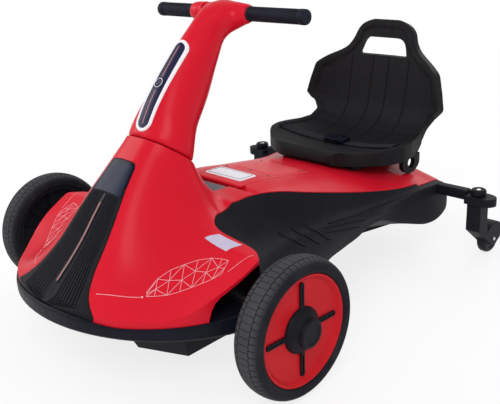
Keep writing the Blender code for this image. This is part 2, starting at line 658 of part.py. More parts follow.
def make_nose_panel():
    def rib(k):
        step = abs(k - PANEL_STEPS // 2)
        if step <= 1:
            return -RIB_HEIGHT
        if step > 2 * RIB_COUNT + 1:
            return 0.0
        return RIB_HEIGHT if step // 2 * 2 == step else -RIB_HEIGHT / 2

    ys = list(PANEL_YS) + [DISPLAY_START - FIT_GAP]
    top, bottom = strip_on_body(ys, lambda y: min(panel_half(y), body_half_width(y)),
                                -PANEL_THICKNESS, 0.0002, PANEL_STEPS, rib)
    for r, y in enumerate(ys):
        if y <= FULL_WIDTH_END:
            bottom[r] = [(x, y, BODY_BASE + FIT_GAP) for x, _, _ in bottom[r]]
    add_object("grille_panel", sheet_mesh("grille_panel", top, bottom), BLACK_PLASTIC)
    top, bottom = strip_on_body(DISPLAY_YS, panel_half, -PANEL_THICKNESS, 0.0006, 8)
    add_object("display_panel", sheet_mesh("display_panel", top, bottom), GLOSS_BLACK)
    light_ys = [y for y in ys if LIGHT_START <= y <= LIGHT_END]
    top, bottom = strip_on_body(light_ys, lambda y: LIGHT_HALF_WIDTH,
                                FIT_GAP - RIB_HEIGHT + 0.0002, 0.0012, 2)
    add_object("light_strip", sheet_mesh("light_strip", top, bottom), LIGHT_LENS)


def lip_section(angle):
    """The bumper's section at one angle round the nose: a plate under the shell with a raised outer band."""
    ahead = -nose_point(angle, 0.0).y
    low = 0.0875 + 0.074 * max(ahead, 0.0)
    high = 0.1190 + 0.0095 * min(max((ahead - 0.178) / 0.030, 0.0), 1.0)
    plate = BODY_BASE - FIT_GAP
    outer = ((0.0008, plate), (0.0008, high - 0.0005), (0.0014, high), (0.0036, high - 0.0012),
             (0.0045, high - 0.005), (0.0045, low + 0.004), (0.0025, low + 0.001), (-0.0030, low))
    ring = [(*nose_point(angle, outward), z) for outward, z in outer]
    inner = nose_point(angle, -LIP_DEPTH)
    limit = PAN_HALF_WIDTH + FIT_GAP
    inner.x = max(min(inner.x, limit), -limit)
    return ring + [(*inner, low), (*inner, plate)]


def make_lip():
    last = math.acos(-LIP_BACK / NOSE_LENGTH)
    rings = [lip_section(angle) for angle in spaced(-last, last, LIP_STEPS)]
    add_object("front_bumper", rings_mesh("front_bumper", rings), BLACK_PLASTIC)


def make_pan(tunnel):
    nose = [nose_point(math.radians(a), -LIP_DEPTH - FIT_GAP) for a in range(-88, 89, 4)]
    outline = [(p.x, p.y) for p in nose if abs(p.x) < PAN_HALF_WIDTH]
    tail = TAIL_END - PAN_TAIL_INSET
    outline = [(-PAN_HALF_WIDTH, tail), (-PAN_HALF_WIDTH, outline[0][1] + 0.008)] + outline
    outline += [(PAN_HALF_WIDTH, outline[-1][1] + 0.008), (PAN_HALF_WIDTH, tail)]
    mesh = prism_mesh("underbody_pan", outline, PAN_BASE, BODY_BASE - FIT_GAP, lambda a, b, h: (a, b, h))
    pan = add_object("underbody_pan", mesh, BLACK_PLASTIC)
    for side in (1, -1):
        cut(pan, bpy.data.objects[f"well_cut_{side}"])
    cut(pan, tunnel)
    return pan


def well_rows():
    """Rows of the footwell's top and underside, from the red edge out."""
    top, bottom = [], []
    for i, (bx, by, ox, oy, shoulder, rim, under) in enumerate(WELL_ROWS):
        before, after = WELL_ROWS[max(i - 1, 0)], WELL_ROWS[min(i + 1, len(WELL_ROWS) - 1)]
        along = Vector((after[0] - before[0], after[1] - before[1])).normalized()
        inner = Vector((wide(bx), by)) + Vector((along.y, -along.x)) * (1.5 * FIT_GAP)
        outer = Vector((wide(ox), oy))
        wall = body_top(wide(bx), by) - WELL_DROP
        base = straight_table(WELL_INNER_BASE, by, 1)
        row_top, row_bottom = [], []
        for t in WELL_STEPS:
            x, y = inner.lerp(outer, t)
            if t < 0.5:
                z = shoulder + (wall - shoulder) * (1 - 2 * t) ** 2
            else:
                z = shoulder + (rim - shoulder) * (2 * t - 1) ** 2
            row_top.append((x, y, z))
            row_bottom.append((x, y, base + (under - base) * t))
        top.append(row_top)
        bottom.append(row_bottom)
    return top, bottom


def make_footwell(side, tunnel):
    top, bottom = ([[(side * x, y, z) for x, y, z in row] for row in grid] for grid in well_rows())
    name = "footwell_left" if side > 0 else "footwell_right"
    well = add_object(name, sheet_mesh(name, top, bottom), BLACK_PLASTIC)
    cut(well, tunnel)
    return well


def make_arch_liner(side):
    start, back = ARCH_LINE[1][0] + 2 * FIT_GAP, LINER_END
    ys = [start] + [y for y, _ in ARCH_LINE if start < y < back] + [back]
    outline = [(y, straight_table(ARCH_LINE, y, 1) - 0.0008) for y in ys]
    step = LIP_BACK + LINER_STEP
    outline += [(back, LINER_BASE), (step, LINER_BASE), (step, BODY_BASE), (start, BODY_BASE)]
    near, far = sorted((side * (ARCH_INNER_X + FIT_GAP), side * (ARCH_INNER_X + LINER_THICKNESS)))
    name = "arch_liner_left" if side > 0 else "arch_liner_right"
    add_object(name, prism_mesh(name, outline, near, far, lambda a, b, h: (h, a, b)), BLACK_PLASTIC)


def make_deck():
    low = body_top(0, MAT_END) - MAT_SINK + FIT_GAP
    mesh = box_mesh("deck_mat", (-MAT_HALF_WIDTH, MAT_START, low),
                    (MAT_HALF_WIDTH, MAT_END, low + MAT_THICKNESS))
    add_object("deck_mat", mesh, MAT_GREY)
    label_ys = spaced(LABEL_START, LABEL_END, 4)
    hatch_ys = [HATCH_START] + label_ys + [0.250, 0.290, HATCH_END]
    top, bottom = strip_on_body(hatch_ys, lambda y: HATCH_HALF_WIDTH,
                                HATCH_PROUD - HATCH_THICKNESS, HATCH_PROUD, 8)
    add_object("battery_hatch", sheet_mesh("battery_hatch", top, bottom), RED_GLOSS)
    label_low = HATCH_PROUD + FIT_GAP
    top, bottom = strip_on_body(label_ys, lambda y: LABEL_HALF_WIDTH,
                                label_low, label_low + LABEL_THICKNESS, 8)
    add_object("hatch_label", sheet_mesh("hatch_label", top, bottom), LABEL_WHITE)


def make_drive(side):
    name = "left" if side > 0 else "right"
    rings = [[(side * wide(x), y, z) for x, y in corners]
             for corners, z in ((DRIVE_LOW, DRIVE_BASE), (DRIVE_HIGH, PAN_BASE - FIT_GAP))]
    add_object(f"drive_housing_{name}", rings_mesh(f"drive_housing_{name}", rings), BLACK_PLASTIC)
    start, end = side * (ARCH_INNER_X + LINER_THICKNESS + FIT_GAP), side * (WHEEL_X + 0.003)
    mesh = rod_mesh(f"axle_{name}", (start, 0, WHEEL_RADIUS), (end, 0, WHEEL_RADIUS), AXLE_RADIUS)
    add_object(f"axle_{name}", mesh, STEEL)


# Front wheels

def make_wheel(side):
    name = "left" if side > 0 else "right"
    pivot = empty(f"front_wheel_{name}_pivot", (side * WHEEL_X, 0, WHEEL_RADIUS), parent=KART_FRAME)
    half = TYRE_WIDTH / 2
    radius = WHEEL_RADIUS
    tyre = ((TYRE_BORE, half - 0.004), (TYRE_BORE + 0.0065, half - 0.0005),
            (radius - 0.0065, half - 0.003), (radius - 0.0015, half - 0.0095), (radius, half - 0.018),
            (radius, 0.018 - half), (radius - 0.0015, 0.0095 - half), (radius - 0.0065, 0.003 - half),
            (TYRE_BORE + 0.0065, 0.0005 - half), (TYRE_BORE, 0.004 - half))
    turned(f"tyre_{name}", tyre, TYRE_RUBBER, 40, pivot, side, True)
    bore = AXLE_RADIUS + PIN_CLEARANCE
    seat = TYRE_BORE - FIT_GAP
    rim = ((bore, 0.004), (seat - 0.0132, 0.004), (seat - 0.0052, 0.0135), (seat, 0.0135), (seat, -0.0195),
           (seat - 0.0052, -0.0195), (seat - 0.0112, -0.004), (0.030, -0.006), (0.030, -0.016),
           (bore, -0.016))
    turned(f"rim_{name}", rim, BLACK_PLASTIC, 28, pivot, side, True)
    disc = ((0, 0.011), (0.036, 0.011), (seat - 0.0112, 0.0115), (seat - 0.0042, 0.0200), (seat, 0.0200),
            (seat, 0.0140), (seat - 0.0057, 0.0140), (seat - 0.0137, 0.0045), (0, 0.0045))
    turned(f"wheel_disc_{name}", disc, RED_WHEEL, 28, pivot, side)
    base = 0.0115 + FIT_GAP
    cap = ((0, 0.0330), (HUB_RADIUS - 0.0055, 0.0330), (HUB_RADIUS - 0.001, 0.0305), (HUB_RADIUS, 0.0180),
           (HUB_RADIUS + 0.0085, 0.0155), (HUB_RADIUS + 0.0095, base), (0, base))
    hub = turned(f"hub_cap_{name}", cap, BLACK_PLASTIC, 24, pivot, side)
    for k in range(4):
        arm = box_mesh("hub_arm", (HUB_RADIUS - 0.004, -HUB_ARM_WIDTH / 2, base + 0.0002),
                       (HUB_ARM_REACH, HUB_ARM_WIDTH / 2, 0.0152))
        outward = Matrix.Rotation(side * math.pi / 2, 4, "Y")
        arm.transform(outward @ Matrix.Rotation(k * math.pi / 2 + HUB_ARM_TURN, 4, "Z"))
        cut(hub, cutter(f"hub_arm_{name}_{k}", arm, parent=pivot), "UNION")


# Rear bar and casters

def make_rear_bar():
    mesh = box_mesh("rear_bar", (-BAR_HALF_LENGTH, -BAR_HALF_DEPTH, -BAR_HALF_HEIGHT),
                    (BAR_HALF_LENGTH, BAR_HALF_DEPTH, BAR_HALF_HEIGHT))
    bar = add_object("rear_bar", mesh, BLACK_PLASTIC, (0, CASTER_Y, BAR_Z))
    bevel = bar.modifiers.new("round", "BEVEL")
    bevel.width = 0.003
    bevel.segments = 2
    return bar


def bracket_outline():
    depth = BRACKET_HALF_DEPTH
    round_start = BRACKET_OUTER - 0.024
    points = [(-BRACKET_INNER, -depth), (round_start, -depth)]
    points += [(round_start + 0.024 * math.sin(math.radians(a)), -depth * math.cos(math.radians(a)))
               for a in range(15, 180, 15)]
    return points + [(round_start, depth), (-BRACKET_INNER, depth)]


def make_caster(side):
    name = "left" if side > 0 else "right"
    centre = Vector((side * CASTER_X, CASTER_Y, 0))
    outline = [(side * a, b) for a, b in bracket_outline()]
    mesh = prism_mesh(f"caster_bracket_{name}", outline, BRACKET_BASE, BRACKET_TOP, lambda a, b, h: (a, b, h))
    bracket = add_object(f"caster_bracket_{name}", mesh, BLACK_PLASTIC, centre)
    bore = rod_mesh("stem_bore", (0, 0, 0.09), (0, 0, 0.15), STEM_RADIUS + PIN_CLEARANCE)
    cut(bracket, cutter(f"stem_bore_{name}", bore, centre))
    swivel = empty(f"caster_swivel_{name}_pivot", centre, parent=KART_FRAME)
    stem = rod_mesh(f"caster_stem_{name}", (0, 0, FORK_TOP + FIT_GAP),
                    (0, 0, BRACKET_TOP + FIT_GAP), STEM_RADIUS)
    add_object(f"caster_stem_{name}", stem, STEEL, parent=swivel)
    cap_base = BRACKET_TOP + 2 * FIT_GAP
    cap = rod_mesh(f"caster_cap_{name}", (0, 0, cap_base), (0, 0, cap_base + CAP_HEIGHT), CAP_RADIUS)
    cap = add_object(f"caster_cap_{name}", cap, BLACK_PLASTIC, parent=swivel)
    bevel = cap.modifiers.new("round", "BEVEL")
    bevel.width = 0.003
    bevel.segments = 2
    bevel.angle_limit = math.radians(50)
    wheel_y, wheel_z = CASTER_TRAIL, CASTER_WHEEL_RADIUS
    hood = CASTER_WHEEL_RADIUS + 0.0065
    fork = [(-0.016, FORK_TOP), (-0.017, 0.062), (0.022, 0.030), (0.034, 0.019), (0.045, 0.015),
            (0.056, 0.019)]
    fork += [(wheel_y + hood * math.cos(math.radians(a)), wheel_z + hood * math.sin(math.radians(a)))
             for a in range(5, 141, 15)]
    fork += [(0.014, 0.070), (0.014, FORK_TOP)]
    mesh = prism_mesh(f"caster_fork_{name}", fork, -FORK_HALF_WIDTH, FORK_HALF_WIDTH,
                      lambda a, b, h: (h, a, b))
    body = add_object(f"caster_fork_{name}", mesh, BLACK_PLASTIC, parent=swivel)
    play = CASTER_WHEEL_WIDTH / 2 + CASTER_WHEEL_PLAY
    slot = rod_mesh("fork_slot", (-play, wheel_y, wheel_z), (play, wheel_y, wheel_z),
                    CASTER_WHEEL_RADIUS + 0.003, 32)
    cut(body, cutter(f"fork_slot_{name}", slot, parent=swivel))
    through = 2 * FORK_HALF_WIDTH
    hole = rod_mesh("fork_hole", (-through, wheel_y, wheel_z), (through, wheel_y, wheel_z),
                    CASTER_PIN_RADIUS + FIT_GAP)
    cut(body, cutter(f"fork_hole_{name}", hole, parent=swivel))
    pin = rod_mesh(f"caster_axle_{name}", (-FORK_HALF_WIDTH - 0.001, wheel_y, wheel_z),
                   (FORK_HALF_WIDTH + 0.001, wheel_y, wheel_z), CASTER_PIN_RADIUS, 16)
    add_object(f"caster_axle_{name}", pin, STEEL, parent=swivel)
    rolling = empty(f"caster_wheel_{name}_pivot", (0, wheel_y, wheel_z), parent=swivel)
    half, radius, bore = CASTER_WHEEL_WIDTH / 2, CASTER_WHEEL_RADIUS, CASTER_PIN_RADIUS + PIN_CLEARANCE
    tread = ((bore, half), (radius - 0.003, half), (radius, half - 0.003), (radius, 0.003 - half),
             (radius - 0.003, -half), (bore, -half))
    turned(f"caster_wheel_{name}", tread, BLACK_PLASTIC, 24, rolling, side, True)


# Seat

def seat_frame(i):
    here = Vector(SEAT_ROWS[i][:2])
    before = Vector(SEAT_ROWS[max(i - 1, 0)][:2])
    after = Vector(SEAT_ROWS[min(i + 1, len(SEAT_ROWS) - 1)][:2])
    along = (after - before).normalized()
    return here, Vector((-along.y, along.x))


def seat_point(i, u):
    """A point of the seat's upper side in row i, at the share u of the half width."""
    here, out = seat_frame(i)
    lift = SEAT_ROWS[i][3] * abs(u) ** 2.5 + SEAT_RIM * min(max((abs(u) - 0.88) / 0.06, 0.0), 1.0)
    y, z = here + out * lift
    return u * SEAT_ROWS[i][2], y, z


def seat_back_point(i, u):
    """The matching point of its underside: flat under the pan, and square to the surface up the back."""
    x, y, z = seat_point(i, u)
    middle, edge = SEAT_ROWS[i][4:6]
    if i == 0:
        return x, y, z - middle
    if i < FLAT_ROWS:
        return x, y, SEAT_UNDERSIDE
    _, out = seat_frame(i)
    thick = middle + (edge - middle) * abs(u) ** 2.5
    return x, y - out.x * thick, z - out.y * thick


def make_seat():
    shares = [-u for u in reversed(SEAT_STEPS[1:])] + list(SEAT_STEPS)
    front = [[seat_point(i, u) for u in shares] for i in range(len(SEAT_ROWS))]
    back = [[seat_back_point(i, u) for u in shares] for i in range(len(SEAT_ROWS))]
    seat = add_object("seat_shell", sheet_mesh("seat_shell", front, back), BLACK_PLASTIC)
    hole = []
    corners = ((HANDLE_LOW_HALF, HANDLE_LOW, -90, 0), (HANDLE_HIGH_HALF, HANDLE_HIGH, 0, 90),
               (-HANDLE_HIGH_HALF, HANDLE_HIGH, 90, 180), (-HANDLE_LOW_HALF, HANDLE_LOW, 180, 270))
    for x, z, start, end in corners:
        corner = HANDLE_LOW_CORNER if z == HANDLE_LOW else HANDLE_HIGH_CORNER
        middle_x = x - math.copysign(corner, x)
        middle_z = z + (corner if z == HANDLE_LOW else -corner)
        for a in range(start, end + 1, 30):
            turn = math.radians(a)
            hole.append((middle_x + corner * math.cos(turn), middle_z + corner * math.sin(turn)))
    mesh = prism_mesh("handle_hole", hole, 0.55, 0.75, lambda a, b, h: (a, h, b))
    cut(seat, cutter("handle_hole", mesh))
    top, bottom = [], []
    for y in spaced(MOUNT_START, MOUNT_END, 8):
        xs = spaced(-MOUNT_HALF_WIDTH, MOUNT_HALF_WIDTH, 11)
        top.append([(x, y, SEAT_BASE) for x in xs])
        bottom.append([(x, y, body_top(x, y) + 2 * FIT_GAP) for x in xs])
    add_object("seat_mount", sheet_mesh("seat_mount", top, bottom), BLACK_PLASTIC)


def seat_height(x, y):
    """Height of the pan's upper side."""
    i = next(k for k in range(2, len(SEAT_ROWS) - 1) if y <= SEAT_ROWS[k + 1][0])
    share = (y - SEAT_ROWS[i][0]) / (SEAT_ROWS[i + 1][0] - SEAT_ROWS[i][0])
    near, far = (seat_point(k, min(abs(x) / SEAT_ROWS[k][2], 1.0))[2] for k in (i, i + 1))
    return near + (far - near) * share


def make_belt():
    ys = spaced(STRAP_Y - STRAP_HALF_WIDTH, STRAP_Y + STRAP_HALF_WIDTH, 3)
    top, bottom = [], []
    for x in spaced(-STRAP_REACH, STRAP_REACH, 25):
        low = max(seat_height(x, y) for y in ys) + 3 * FIT_GAP
        bottom.append([(x, y, low) for y in ys])
        top.append([(x, y, low + STRAP_THICKNESS) for y in ys])
    add_object("belt_strap", sheet_mesh("belt_strap", top, bottom), WEBBING)
    low = seat_height(BUCKLE_HALF_LENGTH, STRAP_Y) + 4 * FIT_GAP + STRAP_THICKNESS
    mesh = box_mesh("belt_buckle", (-BUCKLE_HALF_LENGTH, STRAP_Y - BUCKLE_HALF_WIDTH, low),
                    (BUCKLE_HALF_LENGTH, STRAP_Y + BUCKLE_HALF_WIDTH, low + BUCKLE_HEIGHT))
    buckle = add_object("belt_buckle", mesh, BLACK_PLASTIC)
    bevel = buckle.modifiers.new("round", "BEVEL")
    bevel.width = 0.003
    bevel.segments = 2
    for side in (1, -1):
        make_belt_loop(side)


def make_belt_loop(side):
    """An eye under the seat's edge; its height follows the red surface below it."""
    name = "belt_loop_left" if side > 0 else "belt_loop_right"
    high = SEAT_UNDERSIDE - FIT_GAP
    drop = high - LOOP_CLEARANCE - body_top(LOOP_X - LOOP_THICKNESS, LOOP_Y)
    round_depth = LOOP_ROUND * drop
    middle = high - drop + round_depth
    outline = [(LOOP_Y + LOOP_RADIUS, high), (LOOP_Y - LOOP_RADIUS, high)]
    for a in range(0, 181, 20):
        turn = math.radians(a)
        outline.append((LOOP_Y - LOOP_RADIUS * math.cos(turn), middle - round_depth * math.sin(turn)))
    near, far = sorted((side * (LOOP_X - LOOP_THICKNESS), side * LOOP_X))
    loop = add_object(name, prism_mesh(name, outline, near, far, lambda a, b, h: (h, a, b)), BLACK_PLASTIC)
    hole = rod_mesh("loop_hole", (near - LOOP_THICKNESS, LOOP_Y, middle),
                    (far + LOOP_THICKNESS, LOOP_Y, middle), LOOP_HOLE * drop)
    cut(loop, cutter(f"{name}_hole", hole))


# Steering

def along_column(drawn):
    """A distance of the column's tables, for the present height of the grips."""
    return drawn * GRIP_ALONG / DRAWN_GRIP_ALONG


def mound_reach(a):
    """How far the mound's outline in the seam plane lies from the ring's middle, at the angle a."""
    _, _, front, back = COLUMN_RINGS[0]
    near, far = 0.01, 0.12
    for _ in range(30):
        reach = (near + far) / 2
        x, depth = reach * math.cos(a), (front + back) / 2 - reach * math.sin(a)
        y = SEAM_FRONT_Y + depth * math.cos(COLUMN_TILT)
        z = SEAM_FRONT_Z - depth * math.sin(COLUMN_TILT)
        if body_top(x, y) > z:
            near = reach
        else:
            far = reach
    return near - 2 * FIT_GAP


def ring_point(drawn, a):
    """A point of the column's skin: x and depth behind the front line."""
    half, front, back = (smooth_table(COLUMN_RINGS, drawn, c) for c in (1, 2, 3))
    middle, depth = (front + back) / 2, (back - front) / 2
    x, d = math.cos(a) * half, middle - math.sin(a) * depth
    share = max(1 - drawn / FOOT_BLEND, 0.0) ** 1.5
    if share > 0:
        reach = mound_reach(a)
        foot = (COLUMN_RINGS[0][2] + COLUMN_RINGS[0][3]) / 2
        x += (reach * math.cos(a) - x) * share
        d += (foot - reach * math.sin(a) - d) * share
    return x, d


def column_ring(drawn):
    turns = [2 * math.pi * k / COLUMN_SIDES for k in range(COLUMN_SIDES)]
    return [(*ring_point(drawn, turn), along_column(drawn)) for turn in turns]


def column_front(x, along):
    """Depth of the column's skin behind its front line."""
    drawn = along * DRAWN_GRIP_ALONG / GRIP_ALONG
    skin = [ring_point(drawn, math.radians(a)) for a in range(150, 29, -3)]
    return straight_table(skin, x, 1)


def capsule_mesh(name, half, start, end, low, high):
    rows = 11
    top, bottom = [], []
    for r in range(rows):
        turn = math.pi * r / (rows - 1)
        along = (start + end) / 2 - math.cos(turn) * ((end - start) / 2)
        reach = half
        if along < start + half:
            reach = math.sqrt(max(half**2 - (start + half - along) ** 2, (half * 0.15) ** 2))
        if along > end - half:
            reach = math.sqrt(max(half**2 - (along - end + half) ** 2, (half * 0.15) ** 2))
        xs = spaced(-reach, reach, 5)
        top.append([(x, column_front(x, along) - high, along) for x in xs])
        bottom.append([(x, column_front(x, along) - low, along) for x in xs])
    return sheet_mesh(name, top, bottom)


def make_steering():
    tilt = (-COLUMN_TILT, 0, 0)
    frame = empty("steering_frame", (0, SEAM_FRONT_Y, SEAM_FRONT_Z), tilt, KART_FRAME)
    pivot = empty("steering_pivot", (0, STEER_AXIS_DEPTH, 0), parent=frame)
    back = Vector((0, -STEER_AXIS_DEPTH, 0))
    mesh = rings_mesh("steering_column", [column_ring(row[0]) for row in COLUMN_RINGS])
    column = add_object("steering_column", mesh, RED_GLOSS, back, parent=pivot)
    rings = []
    for x, reach, up, down in STEERING_ARMS + tuple((-row[0], *row[1:]) for row in reversed(STEERING_ARMS)):
        ring = []
        for a in range(0, 360, 15):
            c, s = math.cos(math.radians(a)), math.sin(math.radians(a))
            ring.append((x, GRIP_BEHIND + reach * c, GRIP_ALONG + (up if s > 0 else down) * s))
        rings.append(ring)
    cut(column, cutter("steering_arms", rings_mesh("steering_arms", rings), back, parent=pivot), "UNION")
    shaft = rod_mesh("steering_shaft", (0, 0, -SHAFT_DEPTH), (0, 0, -FIT_GAP), SHAFT_RADIUS)
    add_object("steering_shaft", shaft, STEEL, parent=pivot)
    axis = (GRIP_BEHIND, GRIP_ALONG)
    for side, start in ((1, GRIP_START), (-1, COLLAR_END)):
        name = "grip_left" if side > 0 else "grip_right"
        mesh = rod_mesh(name, (side * (start + FIT_GAP), *axis), (side * GRIP_END, *axis), GRIP_RADIUS)
        grip = add_object(name, mesh, GRIP_RUBBER, back, parent=pivot)
        bevel = grip.modifiers.new("round", "BEVEL")
        bevel.width = 0.003
        bevel.segments = 2
        bevel.angle_limit = math.radians(50)
    mesh = rod_mesh("throttle_collar", (-GRIP_START - FIT_GAP, *axis), (-COLLAR_END, *axis), COLLAR_RADIUS)
    add_object("throttle_collar", mesh, RED_GLOSS, back, parent=pivot)
    start, end = along_column(CAPSULE_START), along_column(CAPSULE_END)
    mesh = capsule_mesh("capsule_frame", CAPSULE_FRAME_HALF, start, end, CAPSULE_LOW, CAPSULE_THICKNESS)
    add_object("capsule_frame", mesh, WHITE_TRIM, back, parent=pivot)
    rim = CAPSULE_FRAME_HALF - CAPSULE_PANEL_HALF
    mesh = capsule_mesh("capsule_panel", CAPSULE_PANEL_HALF, start + rim, end - rim,
                        CAPSULE_THICKNESS + FIT_GAP, CAPSULE_THICKNESS + 0.001)
    add_object("capsule_panel", mesh, NAVY_PANEL, back, parent=pivot)


def build_kart():
    shell = make_body()
    tunnel = bar_tunnel()
    cut(shell, tunnel)
    make_nose_panel()
    make_lip()
    make_pan(tunnel)
    make_deck()
    for side in (1, -1):
        make_footwell(side, tunnel)
        make_arch_liner(side)
        make_drive(side)
        make_wheel(side)
        make_caster(side)
    make_rear_bar()
    make_seat()
    make_belt()
    make_steering()


build_kart()
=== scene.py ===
# Looks of the child's electric ride-on kart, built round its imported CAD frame.
import json
import math

import bpy
from mathutils import Matrix, Vector
from mathutils.bvhtree import BVHTree


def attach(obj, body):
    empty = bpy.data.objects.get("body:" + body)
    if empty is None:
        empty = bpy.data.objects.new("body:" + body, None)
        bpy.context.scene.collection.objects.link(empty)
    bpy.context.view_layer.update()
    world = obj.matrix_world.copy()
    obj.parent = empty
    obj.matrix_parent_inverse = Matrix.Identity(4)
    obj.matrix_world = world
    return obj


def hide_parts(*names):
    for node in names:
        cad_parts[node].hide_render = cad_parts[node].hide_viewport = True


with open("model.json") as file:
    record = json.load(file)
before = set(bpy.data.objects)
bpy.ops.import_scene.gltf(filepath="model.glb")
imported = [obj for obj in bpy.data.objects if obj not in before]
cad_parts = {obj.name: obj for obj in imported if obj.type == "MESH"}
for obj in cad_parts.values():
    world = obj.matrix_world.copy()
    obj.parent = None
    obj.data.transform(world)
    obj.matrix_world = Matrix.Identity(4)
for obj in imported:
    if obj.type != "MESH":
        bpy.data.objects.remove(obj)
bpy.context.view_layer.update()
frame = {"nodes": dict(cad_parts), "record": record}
nodes = frame["nodes"]
print("frame loaded:", len(nodes), "nodes")

axle = Vector((0, -0.2282, 0))   # the point on the ground under the front axle, in the frame
fromAxle = Matrix.Translation(axle)
sides = ((1, "left"), (-1, "right"))
frontWheel = {"across": 0.310, "up": 0.105}
fit = 0.0003   # between pieces that seat on each other


def mm(*values):
    # numbers or rows of numbers in millimetres, as metres
    return tuple(mm(*value) if isinstance(value, tuple) else value / 1000 for value in values)


# Shader sums: a wire is a socket that can be added, subtracted and multiplied

class Wire:
    def __init__(self, finish, socket):
        self.finish, self.socket = finish, socket

    def maths(self, operation, *values):
        return self.finish.node("Math", {"operation": operation}, dict(enumerate(values)))

    def __add__(self, other):
        return self.maths("ADD", self, other)

    def __radd__(self, other):
        return self.maths("ADD", other, self)

    def __sub__(self, other):
        return self.maths("SUBTRACT", self, other)

    def __mul__(self, other):
        return self.maths("MULTIPLY", self, other)

    def __rmul__(self, other):
        return self.maths("MULTIPLY", other, self)


class Finish:
    def __init__(self, name, fixed):
        self.material = bpy.data.materials.new(name)
        self.material.use_nodes = True
        self.tree = self.material.node_tree
        self.shader = self.tree.nodes["Principled BSDF"]
        for socket, value in fixed.items():
            self.shader.inputs[socket].default_value = value

    def put(self, socket, value):
        if isinstance(value, Wire):
            self.tree.links.new(value.socket, socket)
        else:
            socket.default_value = value

    def node(self, kind, settings=None, inputs=None, output=0):
        made = self.tree.nodes.new("ShaderNode" + kind)
        for name, value in (settings or {}).items():
            if name == "stops":
                ramp = made.color_ramp
                while len(ramp.elements) < len(value):
                    ramp.elements.new(1.0)
                for element, (place, shade) in zip(ramp.elements, value):
                    element.position, element.color = place, (shade, shade, shade, 1)
            else:
                setattr(made, name, value)
        for name, value in (inputs or {}).items():
            self.put(made.inputs[name], value)
        return Wire(self, made.outputs[output])

    def set(self, socket, value):
        self.put(self.shader.inputs[socket], value)

    def place(self, size=None):
        here = self.node("TexCoord", output="Object")
        return self.node("Mapping", {}, {"Vector": here, "Scale": size}) if size else here

    def vector(self, operation, *values, output=0):
        return self.node("VectorMath", {"operation": operation}, dict(enumerate(values)), output)

    def noise(self, scale, detail, place=None):
        inputs = {"Vector": place or self.place(), "Scale": scale, "Detail": detail}
        return self.node("TexNoise", {}, inputs)

    def ramp(self, value, *stops):
        return self.node("ValToRGB", {"stops": stops}, {"Fac": value})

    def mix(self, factor, first, second):
        colours = [value if isinstance(value, Wire) else (*value, 1.0) for value in (first, second)]
        return self.node("Mix", {"data_type": "RGBA"}, {0: factor, 6: colours[0], 7: colours[1]}, 2)

    def bump(self, height, distance, strength):
        inputs = {"Height": height, "Distance": distance, "Strength": strength}
        self.set("Normal", self.node("Bump", {}, inputs))


# Finishes: noise scales are per metre, from clouds over a panel to the grain of its surface

def glossPaint(name, dark, light, roughness):
    paint = Finish(name, {"Coat Weight": 0.04, "Coat Roughness": 0.15, "Specular IOR Level": 0.10})
    cloud = paint.noise(7, 3)
    dust = paint.noise(420, 3)
    haze = paint.noise(34, 4)
    paint.set("Base Color", paint.mix(cloud, dark, light))
    paint.set("Roughness", roughness + 0.07 * haze + 0.05 * dust)
    paint.bump(paint.noise(60, 1) + 0.15 * dust, 0.00018, 0.5)
    return paint.material


def grainPlastic(name, dark, light, roughness, grain=900, depth=0.00035):
    plastic = Finish(name, {"Specular IOR Level": 0.1})
    cells = plastic.node("TexVoronoi", {}, {"Vector": plastic.place(), "Scale": grain}, "Distance")
    cloud = plastic.noise(11, 4)
    rub = plastic.noise(70, 5)
    worn = plastic.ramp(rub, (0.45, 0.0), (0.75, 1.0))
    plastic.set("Base Color", plastic.mix(cloud * 0.7 + worn * 0.3, dark, light))
    plastic.set("Roughness", roughness + 0.16 * rub - 0.06 * worn)
    plastic.bump(cells, depth, 0.6)
    return plastic.material


def rubber(name, dark, light, roughness, wheel=None):
    tread = Finish(name, {"Specular IOR Level": 0.12})
    fine = tread.noise(520, 5)
    dust = tread.ramp(tread.noise(26, 6), (0.42, 0.0), (0.72, 1.0))
    worn = dust * 0.6 + fine * 0.3
    if wheel:
        # the tread, far from the axle, is scuffed paler than the side walls
        centre, low, high = wheel
        onAxle = tread.vector("SUBTRACT", tread.place(), (0, *centre))
        radius = tread.vector("LENGTH", tread.vector("MULTIPLY", onAxle, (0, 1, 1)), output="Value")
        far = tread.node("MapRange", {}, {"Value": radius, "From Min": low, "From Max": high})
        worn = worn * 0.3 + far * (0.35 + 0.35 * fine)
    tread.set("Base Color", tread.mix(worn, dark, light))
    tread.set("Roughness", roughness + 0.12 * dust)
    tread.bump(fine, 0.0004, 0.5)
    return tread.material


def steel(name, colour):
    metal = Finish(name, {"Metallic": 1.0, "Base Color": (*colour, 1)})
    lines = metal.noise(240, 3, metal.place((1, 1, 14)))
    metal.set("Base Color", metal.mix(lines, [c * 0.82 for c in colour], colour))
    metal.set("Roughness", 0.24 + 0.2 * lines)
    metal.bump(lines, 0.00008, 0.4)
    return metal.material


def glass(name, dark, light, roughness):
    pane = Finish(name, {"Coat Weight": 0.02, "Coat Roughness": 0.08, "Specular IOR Level": 0.08})
    depth = pane.noise(18, 2)
    pane.set("Base Color", pane.mix(depth, dark, light))
    pane.set("Roughness", roughness + 0.05 * pane.noise(160, 3))
    return pane.material


